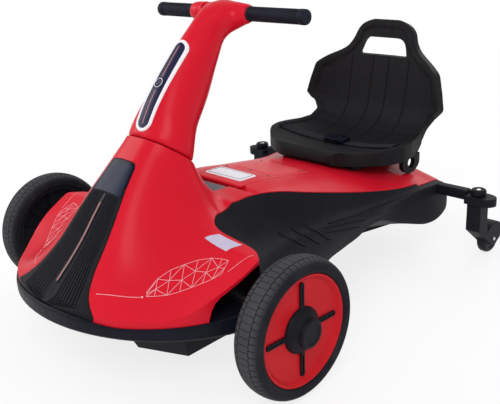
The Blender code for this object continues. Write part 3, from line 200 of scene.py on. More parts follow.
def weave(name, dark, light):
    cloth = Finish(name, {"Specular IOR Level": 0.1, "Sheen Weight": 0.04, "Sheen Roughness": 0.5})

    def bands(direction, scale, wander):
        inputs = {"Vector": cloth.place(), "Scale": scale, "Distortion": wander, "Detail Scale": 3}
        return cloth.node("TexWave", {"wave_type": "BANDS", "bands_direction": direction}, inputs)
    across, along = bands("Y", 260, 0.0), bands("X", 190, 0.6)
    fuzz = cloth.noise(900, 3)
    cloth.set("Base Color", cloth.mix(across * along * 0.7 + fuzz * 0.3, dark, light))
    cloth.set("Roughness", 0.78 + 0.12 * fuzz)
    cloth.bump(across * 0.6 + along * 0.4, 0.0004, 0.8)
    return cloth.material


red = glossPaint("redGloss", (0.58, 0.005, 0.018), (0.67, 0.010, 0.028), 0.26)
redPale = glossPaint("redPale", (0.64, 0.035, 0.048), (0.72, 0.055, 0.068), 0.28)
wheelRed = glossPaint("wheelRed", (0.48, 0.006, 0.011), (0.56, 0.010, 0.018), 0.40)
blackGrain = grainPlastic("blackGrain", (0.0055, 0.0055, 0.0085), (0.012, 0.012, 0.018), 0.44)
seatGrain = grainPlastic("seatGrain", (0.0075, 0.0068, 0.0082), (0.016, 0.0145, 0.017), 0.50, 700)
lipBlack = grainPlastic("lipBlack", (0.0050, 0.0052, 0.0100), (0.011, 0.011, 0.021), 0.36, 1500, 0.00015)
casterBlack = grainPlastic("casterBlack", (0.010, 0.010, 0.013), (0.020, 0.020, 0.025), 0.40, 800)
glossBlack = glass("glossBlack", (0.004, 0.0045, 0.010), (0.009, 0.010, 0.020), 0.14)
tyreBlack = rubber("tyreBlack", (0.007, 0.0075, 0.012), (0.075, 0.075, 0.082), 0.70,
                   wheel=((axle.y, frontWheel["up"]), 0.0985, 0.1030))
gripBlack = rubber("gripBlack", (0.008, 0.009, 0.017), (0.020, 0.021, 0.036), 0.55)
pinSteel = steel("pinSteel", (0.62, 0.63, 0.66))
darkSteel = steel("darkSteel", (0.30, 0.10, 0.10))
whiteTrim = glossPaint("whiteTrim", (0.78, 0.76, 0.80), (0.86, 0.84, 0.88), 0.22)
linePink = glossPaint("linePink", (0.72, 0.36, 0.40), (0.80, 0.46, 0.50), 0.30)
lilac = grainPlastic("lilac", (0.50, 0.46, 0.62), (0.60, 0.56, 0.72), 0.35, 1200, 0.0001)
navyGlass = glass("navyGlass", (0.010, 0.010, 0.036), (0.026, 0.026, 0.072), 0.22)
paneBlue = glass("paneBlue", (0.009, 0.013, 0.030), (0.024, 0.031, 0.058), 0.26)
lens = glass("lens", (0.36, 0.15, 0.15), (0.48, 0.23, 0.22), 0.30)
matGrey = grainPlastic("matGrey", (0.13, 0.13, 0.145), (0.20, 0.20, 0.225), 0.6, 500)
labelWhite = grainPlastic("labelWhite", (0.74, 0.75, 0.80), (0.84, 0.85, 0.90), 0.35, 1200, 0.0001)
webbing = weave("webbing", (0.005, 0.005, 0.009), (0.018, 0.018, 0.026))

# each slot of the record: the finish of its nodes, then others that pieces of the slot take
slotFinishes = {
    "red_gloss_plastic": (red, redPale),
    "red_wheel_plastic": (wheelRed,),
    "black_textured_plastic": (blackGrain, seatGrain, lipBlack, casterBlack),
    "black_gloss_plastic": (glossBlack, paneBlue),
    "tyre_rubber": (tyreBlack,),
    "grip_rubber": (gripBlack,),
    "steel_pin": (pinSteel, darkSteel),
    "white_trim": (whiteTrim, linePink),
    "navy_panel": (navyGlass,),
    "light_lens": (lens,),
    "mat_grey": (matGrey,),
    "label_white": (labelWhite, lilac),
    "belt_webbing": (webbing,),
}
slotOf = {finish.name: slot for slot, group in slotFinishes.items() for finish in group}
ownFinish = {"seat_shell": seatGrain, "front_bumper": lipBlack}
for part in frame["record"]["subparts"]:
    node = nodes[part["node"]]
    node.data.materials.clear()
    node.data.materials.append(ownFinish.get(part["node"], slotFinishes[part["material_slot"]][0]))
print("finishes laid on the CAD nodes")


# Modelling helpers: a primitive is added, shaped in edit mode and moved to its place in its mesh

def pull(shape, names):
    return (shape[name] for name in names.split())


def ease(value, low, high):
    t = min(max((value - low) / (high - low), 0.0), 1.0)
    return t * t * (3 - 2 * t)


def calm():
    if bpy.context.object and bpy.context.object.mode != "OBJECT":
        bpy.ops.object.mode_set(mode="OBJECT")
    bpy.ops.object.select_all(action="DESELECT")


def pick(piece, mode="OBJECT"):
    calm()
    piece.select_set(True)
    bpy.context.view_layer.objects.active = piece
    if mode == "EDIT":
        bpy.ops.object.mode_set(mode="EDIT")
        bpy.ops.mesh.select_mode(type="FACE" if piece.data.polygons else "VERT")
        bpy.ops.mesh.select_all(action="SELECT")


def tidyMesh(piece):
    pick(piece, "EDIT")
    bpy.ops.mesh.remove_doubles(threshold=0.000002)
    bpy.ops.mesh.delete_loose()
    bpy.ops.mesh.select_all(action="SELECT")
    bpy.ops.mesh.normals_make_consistent(inside=False)
    bpy.ops.object.mode_set(mode="OBJECT")


def modify(piece, kind, **settings):
    pick(piece)
    change = piece.modifiers.new(kind.lower(), kind)
    for name, value in settings.items():
        setattr(change, name, value)
    bpy.ops.object.modifier_apply(modifier=change.name)
    return piece


def smooth(piece, angle=32):
    pick(piece)
    bpy.ops.object.shade_smooth_by_angle(angle=math.radians(angle))
    return piece


def settle(piece, body, finish, instead=(), angle=32, slot=None):
    smooth(piece, angle)
    piece.data.materials.clear()
    piece.data.materials.append(finish)
    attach(piece, body)
    slot or slotOf[finish.name]
    if instead:
        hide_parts(*instead)
    return piece


def copyOf(piece, name, move):
    twin = piece.copy()
    twin.data = piece.data.copy()
    twin.name = name
    twin.data.transform(move)
    bpy.context.scene.collection.objects.link(twin)
    return twin


def joined(name, pieces):
    calm()
    for piece in pieces:
        piece.select_set(True)
    bpy.context.view_layer.objects.active = pieces[0]
    if len(pieces) > 1:
        bpy.ops.object.join()
    pieces[0].name = name
    return pieces[0]


def netOf(name, columns, rows, place):
    # a grid whose point (column, row) goes to place(column, row)
    calm()
    bpy.ops.mesh.primitive_grid_add(x_subdivisions=columns, y_subdivisions=rows, size=2)
    piece = bpy.context.object
    piece.name = name
    for point in piece.data.vertices:
        point.co = place(round((point.co.x + 1) / 2 * columns), round((point.co.y + 1) / 2 * rows))
    return piece


def slab(name, columns, rows, place, closed=False):
    # two skins over a grid: place(column, row) gives the upper point and the one below it;
    # a closed grid meets itself
    below = []

    def above(i, j):
        point, under = place(i, j)
        below.append(under)
        return point
    piece = netOf(name, columns, rows, above)
    order = {tuple(round(c, 6) for c in point.co): k for k, point in enumerate(piece.data.vertices)}
    if closed:
        tidyMesh(piece)
    pick(piece, "EDIT")
    bpy.ops.mesh.extrude_region_move()
    bpy.ops.object.mode_set(mode="OBJECT")
    for point in piece.data.vertices:
        if point.select:
            point.co = below[order[tuple(round(c, 6) for c in point.co)]]
    tidyMesh(piece)
    return piece


def choose(piece, test):
    # edit mode, with only the faces selected that pass the test
    pick(piece, "EDIT")
    bpy.ops.mesh.select_all(action="DESELECT")
    bpy.ops.object.mode_set(mode="OBJECT")
    for face in piece.data.polygons:
        face.select = test(face)
    bpy.ops.object.mode_set(mode="EDIT")


def sink(piece, test, move):
    # faces whose centre passes the test are extruded, and their points go where move says
    choose(piece, lambda face: test(face.center))
    bpy.ops.mesh.extrude_region_move()
    bpy.ops.object.mode_set(mode="OBJECT")
    for point in piece.data.vertices:
        if point.select:
            point.co = move(point.co)
    return piece


def inward(depth):
    # moves a point this far towards the Z axis
    def move(co):
        radius = math.hypot(co.x, co.y)
        scale = (radius - depth) / radius
        return Vector((co.x * scale, co.y * scale, co.z))
    return move


def sectorShare(centre, count):
    # how far round in its sector a point stands, of this many about the Z axis
    return (math.atan2(centre.y, centre.x) / math.tau * count) % 1


def fillet(outline, steps=4):
    # a corner with a third value is rounded, starting that far from the corner
    done = []
    for k, point in enumerate(outline):
        here = Vector(point[:2])
        if len(point) < 3:
            done.append(here)
            continue
        before = Vector(outline[k - 1][:2]) - here
        after = Vector(outline[(k + 1) % len(outline)][:2]) - here
        start = here + before.normalized() * min(point[2], 0.48 * before.length)
        end = here + after.normalized() * min(point[2], 0.48 * after.length)
        for step in range(steps + 1):
            t = step / steps
            done.append(start * (1 - t) ** 2 + here * (2 * t * (1 - t)) + end * t * t)
    return done


def rectangle(left, near, right, far, *corner):
    # four corners, rounded where a value is given
    return [(x, y, *corner) for x, y in ((left, near), (right, near), (right, far), (left, far))]


def turned(name, profile, steps, move=None, roundSteps=4):
    # a closed profile of (radius, height), turned about Z and then moved to its place
    outline = fillet(profile, roundSteps)
    calm()
    bpy.ops.mesh.primitive_circle_add(vertices=len(outline), radius=1)
    piece = bpy.context.object
    piece.name = name
    for point, place in zip(piece.data.vertices, outline):
        point.co = (place.x, 0, place.y)
    pick(piece, "EDIT")
    bpy.ops.mesh.spin(steps=steps, angle=math.tau, center=(0, 0, 0), axis=(0, 0, 1))
    bpy.ops.object.mode_set(mode="OBJECT")
    tidyMesh(piece)
    if move:
        piece.data.transform(move)
    return piece


def plate(name, outline, low, high, move=None, bevel=0.0, segments=2):
    # a flat outline pulled up from low to high
    outline = fillet(outline)
    calm()
    bpy.ops.mesh.primitive_circle_add(vertices=len(outline), radius=1, fill_type="NGON")
    piece = bpy.context.object
    piece.name = name
    for point, place in zip(piece.data.vertices, outline):
        point.co = (place.x, place.y, low)
    pick(piece, "EDIT")
    bpy.ops.mesh.extrude_region_move(TRANSFORM_OT_translate={"value": (0, 0, high - low)})
    bpy.ops.object.mode_set(mode="OBJECT")
    if move:
        piece.data.transform(move)
    tidyMesh(piece)
    if bevel:
        modify(piece, "BEVEL", width=bevel, segments=segments, limit_method="ANGLE",
               angle_limit=math.radians(50))
    return piece


def cutBy(piece, tool):
    modify(piece, "BOOLEAN", object=tool, solver="EXACT", operation="DIFFERENCE")
    bpy.data.objects.remove(tool, do_unlink=True)


def boxTool(low, high, move):
    return plate("tool", rectangle(*low[:2], *high[:2]), low[2], high[2], move)


def treeOf(*pieces):
    points, faces = [], []
    for piece in pieces:
        first = len(points)
        points += [point.co.copy() for point in piece.data.vertices]
        faces += [[first + k for k in face.vertices] for face in piece.data.polygons]
    return BVHTree.FromPolygons(points, faces)


def facing(tree, start, towards):
    # where a ray meets the tree, and the normal there that looks back along the ray
    point, normal = tree.ray_cast(start, towards)[:2]
    return point, normal if normal.dot(towards) < 0 else -normal


def dropper(*pieces, start=0.8):
    # what a plan place from the axle meets, seen from this height: its point and normal
    tree = treeOf(*pieces)
    towards = Vector((0, 0, -math.copysign(1, start)))
    return lambda x, y: facing(tree, Vector((x, y + axle.y, start)), towards)


def standing(place, normal):
    # takes what is modelled about Z to a place on a surface
    return Matrix.Translation(place) @ normal.to_track_quat("Z", "Y").to_matrix().to_4x4()


def laid(name, columns, rows, plan, drop, height, depth, closed=False):
    # a skin over what carries it: plan(u, v) is the place; height is a number, or height(u, v),
    # and says how proud it stands
    def place(i, j):
        u, v = i / columns, j / rows
        point, normal = drop(*plan(u, v))
        lift = height(u, v) if callable(height) else height
        return point + normal * lift, point - normal * depth
    return slab(name, columns, rows, place, closed)


ribbonRoot = 0.0004   # how deep a raised line stands in what carries it


def ribbon(name, path, width, height, drop, step=0.004):
    # a thin raised line along a path on what carries it
    path = [Vector(p) for p in path]
    points = [path[0]]
    for start, end in zip(path, path[1:]):
        count = max(1, round((end - start).length / step))
        points += [start.lerp(end, k / count) for k in range(1, count + 1)]
    last = len(points) - 1

    def plan(u, v):
        k = round(v * last)
        along = (points[min(k + 1, last)] - points[max(k - 1, 0)]).normalized()
        return points[k] + Vector((along.y, -along.x)) * (width * (u - 0.5))
    return laid(name, 4, last, plan, drop, lambda u, v: height * (1 - abs(2 * u - 1) ** 3), ribbonRoot)


def roundWidth(half, reach, least=0.0):
    # half the width of a round end, this far in from its tip
    return half if reach >= half else math.sqrt(max(half**2 - (half - reach) ** 2, least))


def roundedPlan(start, end, halfAt, corner=0.0):
    # a plan of (u, v) between two y places whose corners are rounded
    def plan(u, v):
        y = start + (end - start) * v
        inset = corner - roundWidth(corner, min(y - start, end - y))
        return (2 * u - 1) * (halfAt(y) - inset), y
    return plan


def pillPlan(low, high, half, spread=lambda v: v):
    # a plan of (u, v) over a strip with round ends
    def plan(u, v):
        along = low + (high - low) * spread(v)
        return (2 * u - 1) * roundWidth(half, min(along - low, high - along), 0.0000001), along
    return plan


def bevelled(length, half, proud, drop, width):
    # the height of a flat sheet whose edge falls by drop over this width
    def height(u, v):
        edge = min(min(u, 1 - u) * 2 * half, min(v, 1 - v) * length)
        return proud - drop * (1 - ease(edge, 0.0, width))
    return height


# The red body's surface, as in the frame

bodyShape = {
    # y from the axle, height of the ridge, half width of the crown
    "stations": mm(
        (-210, 130, 110), (-182, 154, 115), (-154, 179, 115), (-129, 204, 110), (-100, 238, 100),
        (-70, 271, 90), (-38, 303, 82), (-4, 336, 76), (30, 372, 73), (48, 345, 73), (66, 285, 77),
        (82, 243, 100), (98, 225, 160), (130, 221, 200), (200, 219, 200), (250, 211, 200), (306, 202, 200),
        (384, 189, 200), (460, 178, 200), (520, 172, 200), (560, 166, 190), (590, 154, 180),
        (610, 138, 160), (622, 124, 150)),
    # y from the axle, height of the edge
    "rim": mm(
        (-210, 133), (-180, 131), (-140, 129), (-120, 132), (-100, 140), (-80, 151), (-65.5, 158.5),
        (-48, 167), (-30, 174.5), (-11.4, 183), (0, 187.5), (15, 187.8), (50, 187), (66, 188), (82, 186),
        (98, 178), (130, 165), (200, 140), (250, 132), (306, 130), (384, 130), (460, 132), (520, 136),
        (560, 135.5), (590, 130), (610, 124), (622, 121)),
    "crownPower": 3.6,
    "noseLength": 0.210,
    "halfWidth": 0.245,
    "base": 0.1162,
    "tailStart": 0.500,
    "tailEnd": 0.622,
    "tailHalf": 0.210,
    "columns": 64,
    "rowStep": 0.0046,
    "spread": 1.05,
    "floorDrop": 0.0002,
    "seam": (-0.004, 0.333, 0.0015),   # front line of the seam: y, height, and its gap
    "seamReach": 0.2,
    "tilt": math.radians(38),
    "bore": (0.0125, -0.047, 0.05, 0.039),   # radius, from, to, and how far behind the seam's front
    "wellHeights": (0.05, 0.30),
    "archReach": (0.185, 0.4),
    "mat": mm(101, 143, 46, 7),   # from, to, half width and depth, as the hatch's
    "hatch": mm(147, 330, 62, 4.6),
    "grille": (-0.212, -0.0357, 0.0047),
    "bar": mm((-400, 546.7, 117.2), (400, 567.3, 137.8)),
}
seamY, seamZ, seamGap = bodyShape["seam"]
headPlace = Matrix.Translation(axle + Vector((0, seamY, seamZ))) @ Matrix.Rotation(-bodyShape["tilt"], 4, "X")


def tableAt(table, y, column):
    # a smooth curve through the table's rows
    rows = [(row[0], row[column]) for row in table]
    if y <= rows[0][0]:
        return rows[0][1]
    if y >= rows[-1][0]:
        return rows[-1][1]
    k = next(i for i in range(len(rows) - 1) if rows[i][0] <= y <= rows[i + 1][0])
    (y0, v0), (y1, v1) = rows[k], rows[k + 1]
    before, after = rows[max(k - 1, 0)], rows[min(k + 2, len(rows) - 1)]
    span, t = y1 - y0, (y - y0) / (y1 - y0)
    slope0 = (v1 - before[1]) / (y1 - before[0])
    slope1 = (after[1] - v0) / (after[0] - y0)
    return ((2 * t**3 - 3 * t**2 + 1) * v0 + (t**3 - 2 * t**2 + t) * span * slope0
            + (3 * t**2 - 2 * t**3) * v1 + (t**3 - t**2) * span * slope1)


def straightAt(table, y):
    # the second column, straight between the table's rows
    if y <= table[0][0]:
        return table[0][1]
    for (y0, v0), (y1, v1) in zip(table, table[1:]):
        if y <= y1:
            return v0 + (v1 - v0) * (y - y0) / (y1 - y0)
    return table[-1][1]


def bodyWidth(y):
    half, nose, start, end = pull(bodyShape, "halfWidth noseLength tailStart tailEnd")
    if y < 0:
        return half * math.sqrt(max(1 - (y / nose) ** 2, 0.0))
    if y < start:
        return half
    reach = min((y - start) / (end + 0.004 - start), 1.0)
    return bodyShape["tailHalf"] * (1 - reach**3) ** (1 / 3)


def bodyTop(x, y):
    ridge, crown = (tableAt(bodyShape["stations"], y, column) for column in (1, 2))
    rim = tableAt(bodyShape["rim"], y, 1)
    power = bodyShape["crownPower"]
    edge = max(bodyWidth(y), abs(x), 0.001)
    fall = 1 / (1 + (abs(x) / crown) ** power)
    rimFall = 1 / (1 + (edge / crown) ** power)
    return rim + (ridge - rim) * (fall - rimFall) / (1 - rimFall)


def skinPoint(x, y):
    return Vector((x, y + axle.y, bodyTop(x, y)))


def bodySkin(x, y):
    # point and normal of the red surface
    step = 0.0005
    alongX = Vector((2 * step, 0, bodyTop(x + step, y) - bodyTop(x - step, y)))
    alongY = Vector((0, 2 * step, bodyTop(x, y + step) - bodyTop(x, y - step)))
    return skinPoint(x, y), alongX.cross(alongY).normalized()


# Red body and the black footwells in its sides, from one smooth edge

wellShape = {
    # red edge x, y, outer edge x, y, height of the shoulder, of the outer edge and of the underside there
    "rows": mm(
        (234, 10.5, 250, 10.5, 140, 137, 103), (227.5, 16, 250, 19, 140, 137, 103.5),
        (220, 20.5, 250, 30, 139.5, 137, 104), (205, 25, 250, 50, 139, 137, 105),
        (185.6, 27, 250, 70, 138.5, 137, 108), (162, 26.2, 250, 90, 138, 137, 112),
        (144, 24, 250, 110, 138, 137, 116), (129, 26.2, 248, 125, 138, 137, 119),
        (118, 36, 244, 140, 138, 137, 122), (108, 55, 240, 155, 138.5, 137.5, 124.5),
        (100, 85, 236, 170, 138.5, 137.5, 126.5), (96.5, 120, 231, 190, 138.5, 137, 126),
        (97.5, 150, 227, 210, 139, 136.5, 125.2), (104, 180, 223, 232, 139.5, 136.5, 125.2),
        (117.7, 231.1, 218, 268, 140.5, 138.5, 126.2), (131.8, 285.4, 212, 310, 142.5, 141.2, 131.8),
        (146.3, 340, 208, 355, 141, 137, 126.2), (160, 395, 206, 400, 139, 119, 106.5),
        (172, 445, 207, 450, 140, 101, 88), (181, 490, 208, 495, 142, 88, 74),
        (185, 535, 208, 535, 139.8, 85, 71.5), (181, 575, 204, 572, 134.5, 93, 80),
        (170, 598, 196, 590, 125.5, 108, 94), (158, 612, 180, 606, 121, 114, 105)),
    "tip": mm((300, -3), (246, -3), (244.5, 1), (240.5, 6)),
    "tailCorner": mm(140, 640),
    "innerBase": mm((0, 100), (300, 98), (400, 90), (450, 84), (612, 84)),
    "drop": 0.0015,
    "gap": 0.00045,
    "spread": 1.35,
    "lip": (0.94, 0.0022),   # where the outer edge starts to fall, as a share, and by how much
    "perRow": 5,
    "columns": 30,
}
archLine = mm(
    (-84, 80), (-84, 100), (-83, 120), (-79.5, 134), (-73.5, 145.5), (-65.5, 153), (-48, 161.9), (-30, 170),
    (-11.4, 178.5), (0, 181.5), (20, 183.5), (34, 183.8), (34, 80))


def wellRow(t):
    # a row of the footwell's table at t, a whole number for the rows that are written there
    rows = wellShape["rows"]
    k = min(int(t), len(rows) - 2)
    s = t - k
    before, here, there, after = (rows[min(max(k + d, 0), len(rows) - 1)] for d in (-1, 0, 1, 2))
    return [0.5 * (2 * b + (c - a) * s + (2 * a - 5 * b + 4 * c - d) * s**2 + (3 * b - a - 3 * c + d) * s**3)
            for a, b, c, d in zip(before, here, there, after)]


wellTs = [k / wellShape["perRow"] for k in range((len(wellShape["rows"]) - 1) * wellShape["perRow"] + 1)]


def skinTool(start, end, halfAt, depth):
    # takes the red away over a part of its plan, down to this depth below its surface
    columns, rows = 24, 40

    def place(i, j):
        y = start + (end - start) * j / rows
        point = skinPoint(halfAt(y) * (2 * i / columns - 1), y)
        deep = bodyShape["base"] - 0.01 if y <= noseShape["fullWidthEnd"] else point.z - depth
        return point + Vector((0, 0, 0.02)), Vector((point.x, point.y, deep))
    return slab("tool", columns, rows, place)


def makeBody():
    start, end, base, half = noseShape["start"], *pull(bodyShape, "tailEnd base columns")
    rows = round((end - start) / bodyShape["rowStep"])

    def place(i, j):
        y = start + (end - start) * j / rows
        share = (i - half) / half
        x = bodyWidth(y) * math.copysign(abs(share) ** bodyShape["spread"], share)
        return skinPoint(x, y), Vector((x, y + axle.y, base - bodyShape["floorDrop"]))
    body = slab("bodyDetailed", 2 * half, rows, place)
    choose(body, lambda face: face.normal.z < -0.99 and face.center.z < base)
    bpy.ops.mesh.dissolve_faces()
    bpy.ops.object.mode_set(mode="OBJECT")
    reach = bodyShape["seamReach"]
    cutBy(body, boxTool((-reach, -reach, -seamGap), (reach,) * 3, headPlace))
    radius, low, high, behind = bodyShape["bore"]
    bore = turned("tool", ((0, low), (radius, low), (radius, high), (0, high)), 48,
                  headPlace @ Matrix.Translation((0, behind, 0)))
    cutBy(body, bore)
    edge = list(wellShape["tip"]) + [wellRow(t)[:2] for t in wellTs] + [wellShape["tailCorner"]]
    edge.append((edge[0][0], edge[-1][1]))
    for side, _ in sides:
        outline = [(side * x, y) for x, y in edge]
        cutBy(body, plate("tool", outline, *bodyShape["wellHeights"], fromAxle))
        sideways = fromAxle @ Matrix(((0, 0, side, 0), (1, 0, 0, 0), (0, 1, 0, 0), (0, 0, 0, 1)))
        cutBy(body, plate("tool", archLine, *bodyShape["archReach"], sideways))
    first, last, depth = bodyShape["grille"]
    cutBy(body, skinTool(first, last, lambda y: straightAt(noseShape["edge"], y) + fit, depth))
    first, last, width, depth = bodyShape["mat"]
    low, high = (-width - fit, first - fit, bodyTop(0, last) - depth), (width + fit, last + fit, 0.3)
    cutBy(body, boxTool(low, high, fromAxle))
    first, last, width, depth = bodyShape["hatch"]
    cutBy(body, skinTool(first - fit, last + fit, lambda y: width + fit, depth))
    cutBy(body, boxTool(*bodyShape["bar"], fromAxle))
    return body


def makeFootwell(side, sideName):
    ts, columns = wellTs, wellShape["columns"]
    lipStart, lipDrop = wellShape["lip"]

    def place(i, j):
        bx, by, ox, oy, shoulder, rim, under = wellRow(ts[j])
        before, after = wellRow(max(ts[j] - 0.2, 0)), wellRow(min(ts[j] + 0.2, ts[-1]))
        along = Vector((after[0] - before[0], after[1] - before[1])).normalized()
        inner = Vector((bx, by)) + Vector((along.y, -along.x)) * wellShape["gap"]
        share = (i / columns) ** wellShape["spread"]
        x, y = inner.lerp(Vector((ox, oy)), share)
        base = straightAt(wellShape["innerBase"], by)
        edge = bodyTop(bx, by) - wellShape["drop"] if share < 0.5 else rim
        z = shoulder + (edge - shoulder) * (1 - 2 * share) ** 2
        z -= lipDrop * max(0.0, share - lipStart) / (1 - lipStart)
        plan = (side * x, y + axle.y)
        return Vector((*plan, z)), Vector((*plan, base + (under - base) * share))
    well = slab(f"footwellDetailed_{sideName}", columns, len(ts) - 1, place)
    cutBy(well, boxTool(*bodyShape["bar"], fromAxle))
    return well


# Front wheels: tyre, rim, disc and hub, modelled once about Z with the outside up

tyreShape = {
    # radius and height from the bead to the middle of the tread
    "side": mm(
        (83.8, 19.5), (84.8, 21.2), (86.4, 22.7), (88.6, 23.6), (90.2, 23.6), (90.8, 23.1), (92.4, 23.1),
        (93, 23.5), (95.8, 23), (97.6, 21.9), (99, 20.6), (100.4, 18.8), (101.8, 16.6), (102.9, 13.8),
        (103.8, 10.8), (104.1, 9.2), (104.5, 6.2), (104.8, 3)),
    "pitches": 66,
    "shares": (0.0, 0.15, 0.50, 0.62),
    "shoulder": mm(10.5, 20),
    "shoulderFrom": 0.1,
    "crownFrom": 0.1035,
    "groove": mm(9.2, 10.8),
    "grooveFrom": 0.1028,
    "sipeDepth": 0.0013,
    "grooveDepth": 0.0020,
}


def makeTyre():
    side = list(tyreShape["side"])
    section = side + [(r, -h) for r, h in reversed(side)] + [side[0]]
    pitches, shares = tyreShape["pitches"], tyreShape["shares"]

    def place(i, j):
        pitch, part = divmod(i, len(shares))
        turn = math.tau * (pitch + shares[part]) / pitches
        radius, height = section[j]
        return Vector((radius * math.cos(turn), radius * math.sin(turn), height))
    tyre = netOf("tyreMaster", pitches * len(shares), len(section) - 1, place)
    tidyMesh(tyre)
    (low, high), (inner, outer) = tyreShape["shoulder"], tyreShape["groove"]

    def inSipe(centre):
        share = sectorShare(centre, pitches)
        reach, radius = abs(centre.z), math.hypot(centre.x, centre.y)
        if low < reach < high and radius >= tyreShape["shoulderFrom"]:
            return share < shares[1]
        return radius > tyreShape["crownFrom"] and reach < inner and shares[2] < share < shares[3]

    def inGroove(centre):
        return inner < abs(centre.z) < outer and math.hypot(centre.x, centre.y) > tyreShape["grooveFrom"]
    sink(tyre, inSipe, inward(tyreShape["sipeDepth"]))
    return sink(tyre, inGroove, inward(tyreShape["grooveDepth"]))


hubShape = {
    "base": 0.0119,
    "boss": 0.0222,
    "flange": 0.0345,
    "face": 0.0328,
    "armStart": 0.0300,
    "armEnd": 0.0722,
    "armWidth": 0.0078,
    "armTop": 0.0151,
    "armTurn": math.radians(-2),
    "pit": (0.0090, 0.0028, 0.0024, 0.0012),   # margins at the start, end and sides of an arm, corner
    "pitDepth": 0.0013,
    "steps": 72,
}


def makeHub():
    base, boss, flange, face, steps = pull(hubShape, "base boss flange face steps")
    profile = (
        (0, base), (0, face - 0.0010), (0.0150, face - 0.0010, 0.0004), (0.0156, face, 0.0005),
        (boss - 0.0024, face, 0.0012), (boss - 0.0002, face - 0.0026, 0.0018), (boss, 0.0262, 0.0006),
        (boss + 0.0010, 0.0250, 0.0008), (flange - 0.0036, 0.0190, 0.003), (flange - 0.0008, 0.0156, 0.0015),
        (flange, 0.0140, 0.0008), (flange, base))
    hub = turned("hubMaster", profile, steps)
    start, end, width, top = pull(hubShape, "armStart armEnd armWidth armTop")
    half = width / 2
    outline = ((start, -half), (end, -half, 0.0034), (end, half, 0.0034), (start, half))
    first, last, beside, corner = hubShape["pit"]
    slot = rectangle(start + first, beside - half, end - last, half - beside, corner)
    arms = []
    for k in range(4):
        arm = plate("arm", outline, base + 0.0002, top, bevel=0.0006)
        cutBy(arm, plate("pit", slot, top - hubShape["pitDepth"], top + 0.001))
        arm.data.transform(Matrix.Rotation(k * math.pi / 2 + hubShape["armTurn"], 4, "Z"))
        arms.append(arm)
    return joined("hubMaster", [hub] + arms)


def makeDisc():
    profile = mm((0, 4.7), (0, 11.4), (39.5, 11.5, 1), (73.8, 12, 3), (78.8, 18.2, 3), (80.8, 19.9, 1.5),
                 (83.2, 19.9, 1), (83.2, 14.2), (77.5, 14.2), (69.5, 4.7))
    return turned("discMaster", profile, 96)


rimShape = {"pockets": 9, "radii": (0.038, 0.0715), "heights": (-0.0062, -0.003), "shares": (0.13, 0.87),
            "pocketDepth": 0.0036}


def makeRim():
    profile = mm((8.6, 3.9), (70, 3.9), (78, 13.4), (83.2, 13.4), (83.2, -19.4, 1.2), (80.2, -19.4, 1.2),
                 (77.6, -18, 2), (72.4, -4.8, 3), (47, -4.2), (34, -4.6, 3), (30, -8.5, 2), (29.6, -15.8, 1.5),
                 (12, -15.8), (11.6, -15), (8.6, -15))
    rim = turned("rimMaster", profile, 72)

    def inPocket(centre):
        values = (math.hypot(centre.x, centre.y), centre.z, sectorShare(centre, rimShape["pockets"]))
        limits = pull(rimShape, "radii heights shares")
        return all(low < value < high for value, (low, high) in zip(values, limits))
    return sink(rim, inPocket, lambda co: Vector((co.x, co.y, co.z + rimShape["pocketDepth"])))


wheelParts = {"tyre": (makeTyre(), tyreBlack), "hub_cap": (makeHub(), blackGrain),
              "wheel_disc": (makeDisc(), wheelRed), "rim": (makeRim(), blackGrain)}
for side, sideName in sides:
    centre = Vector((side * frontWheel["across"], 0, frontWheel["up"])) + axle
    outward = Matrix.Translation(centre) @ Matrix.Rotation(side * math.pi / 2, 4, "Y")
    for kind, (master, finish) in wheelParts.items():
        wheelPart = copyOf(master, f"{kind}Detailed_{sideName}", outward)
        settle(wheelPart, f"front_wheel_{sideName}", finish, [f"{kind}_{sideName}"])
for master, _ in wheelParts.values():
    bpy.data.objects.remove(master, do_unlink=True)
print("front wheels made")


# Nose: grille with its ribs, display and light line

noseShape = {
    "edge": mm(
        (-210, 125), (-194.5, 115), (-191.5, 104), (-188.6, 94.5), (-183, 82), (-173.6, 71.5), (-164, 65.5),
        (-150, 59), (-133.7, 54.5), (-118, 51.2), (-102, 47.5), (-86, 42.8), (-66, 36.5), (-51, 32.8),
        (-41, 30.8), (-38, 29), (-36, 25)),
    # the ribs keep to a slimmer fan where the panel flares out
    "ribEdge": mm((-210, 88), (-190, 77), (-164, 65.5)),
    "start": -0.2089,
    "end": -0.0663,
    "fullWidthEnd": -0.1915,
    "thickness": 0.0034,
    "rows": 88,
    "ribs": 8,
    "points": (3, 6, 10),   # across the channel, a rib and the border
    "ribStart": 0.17,
    "ribEnd": 0.84,
    "ribHeight": 0.0011,
    "ribTop": -0.0790,
    "channelDepth": 0.0008,
}


def ribShare(k, count):
    # places across the half panel: the channel, the ribs, the smooth border
    start, end, ribs = pull(noseShape, "ribStart ribEnd ribs")
    channel, perRib, _ = noseShape["points"]
    last = channel + perRib * ribs
    if k <= channel:
        return start * k / channel
    if k <= last:
        return start + (end - start) * (k - channel) / (perRib * ribs)
    return end + (1 - end) * (k - last) / (count - last)


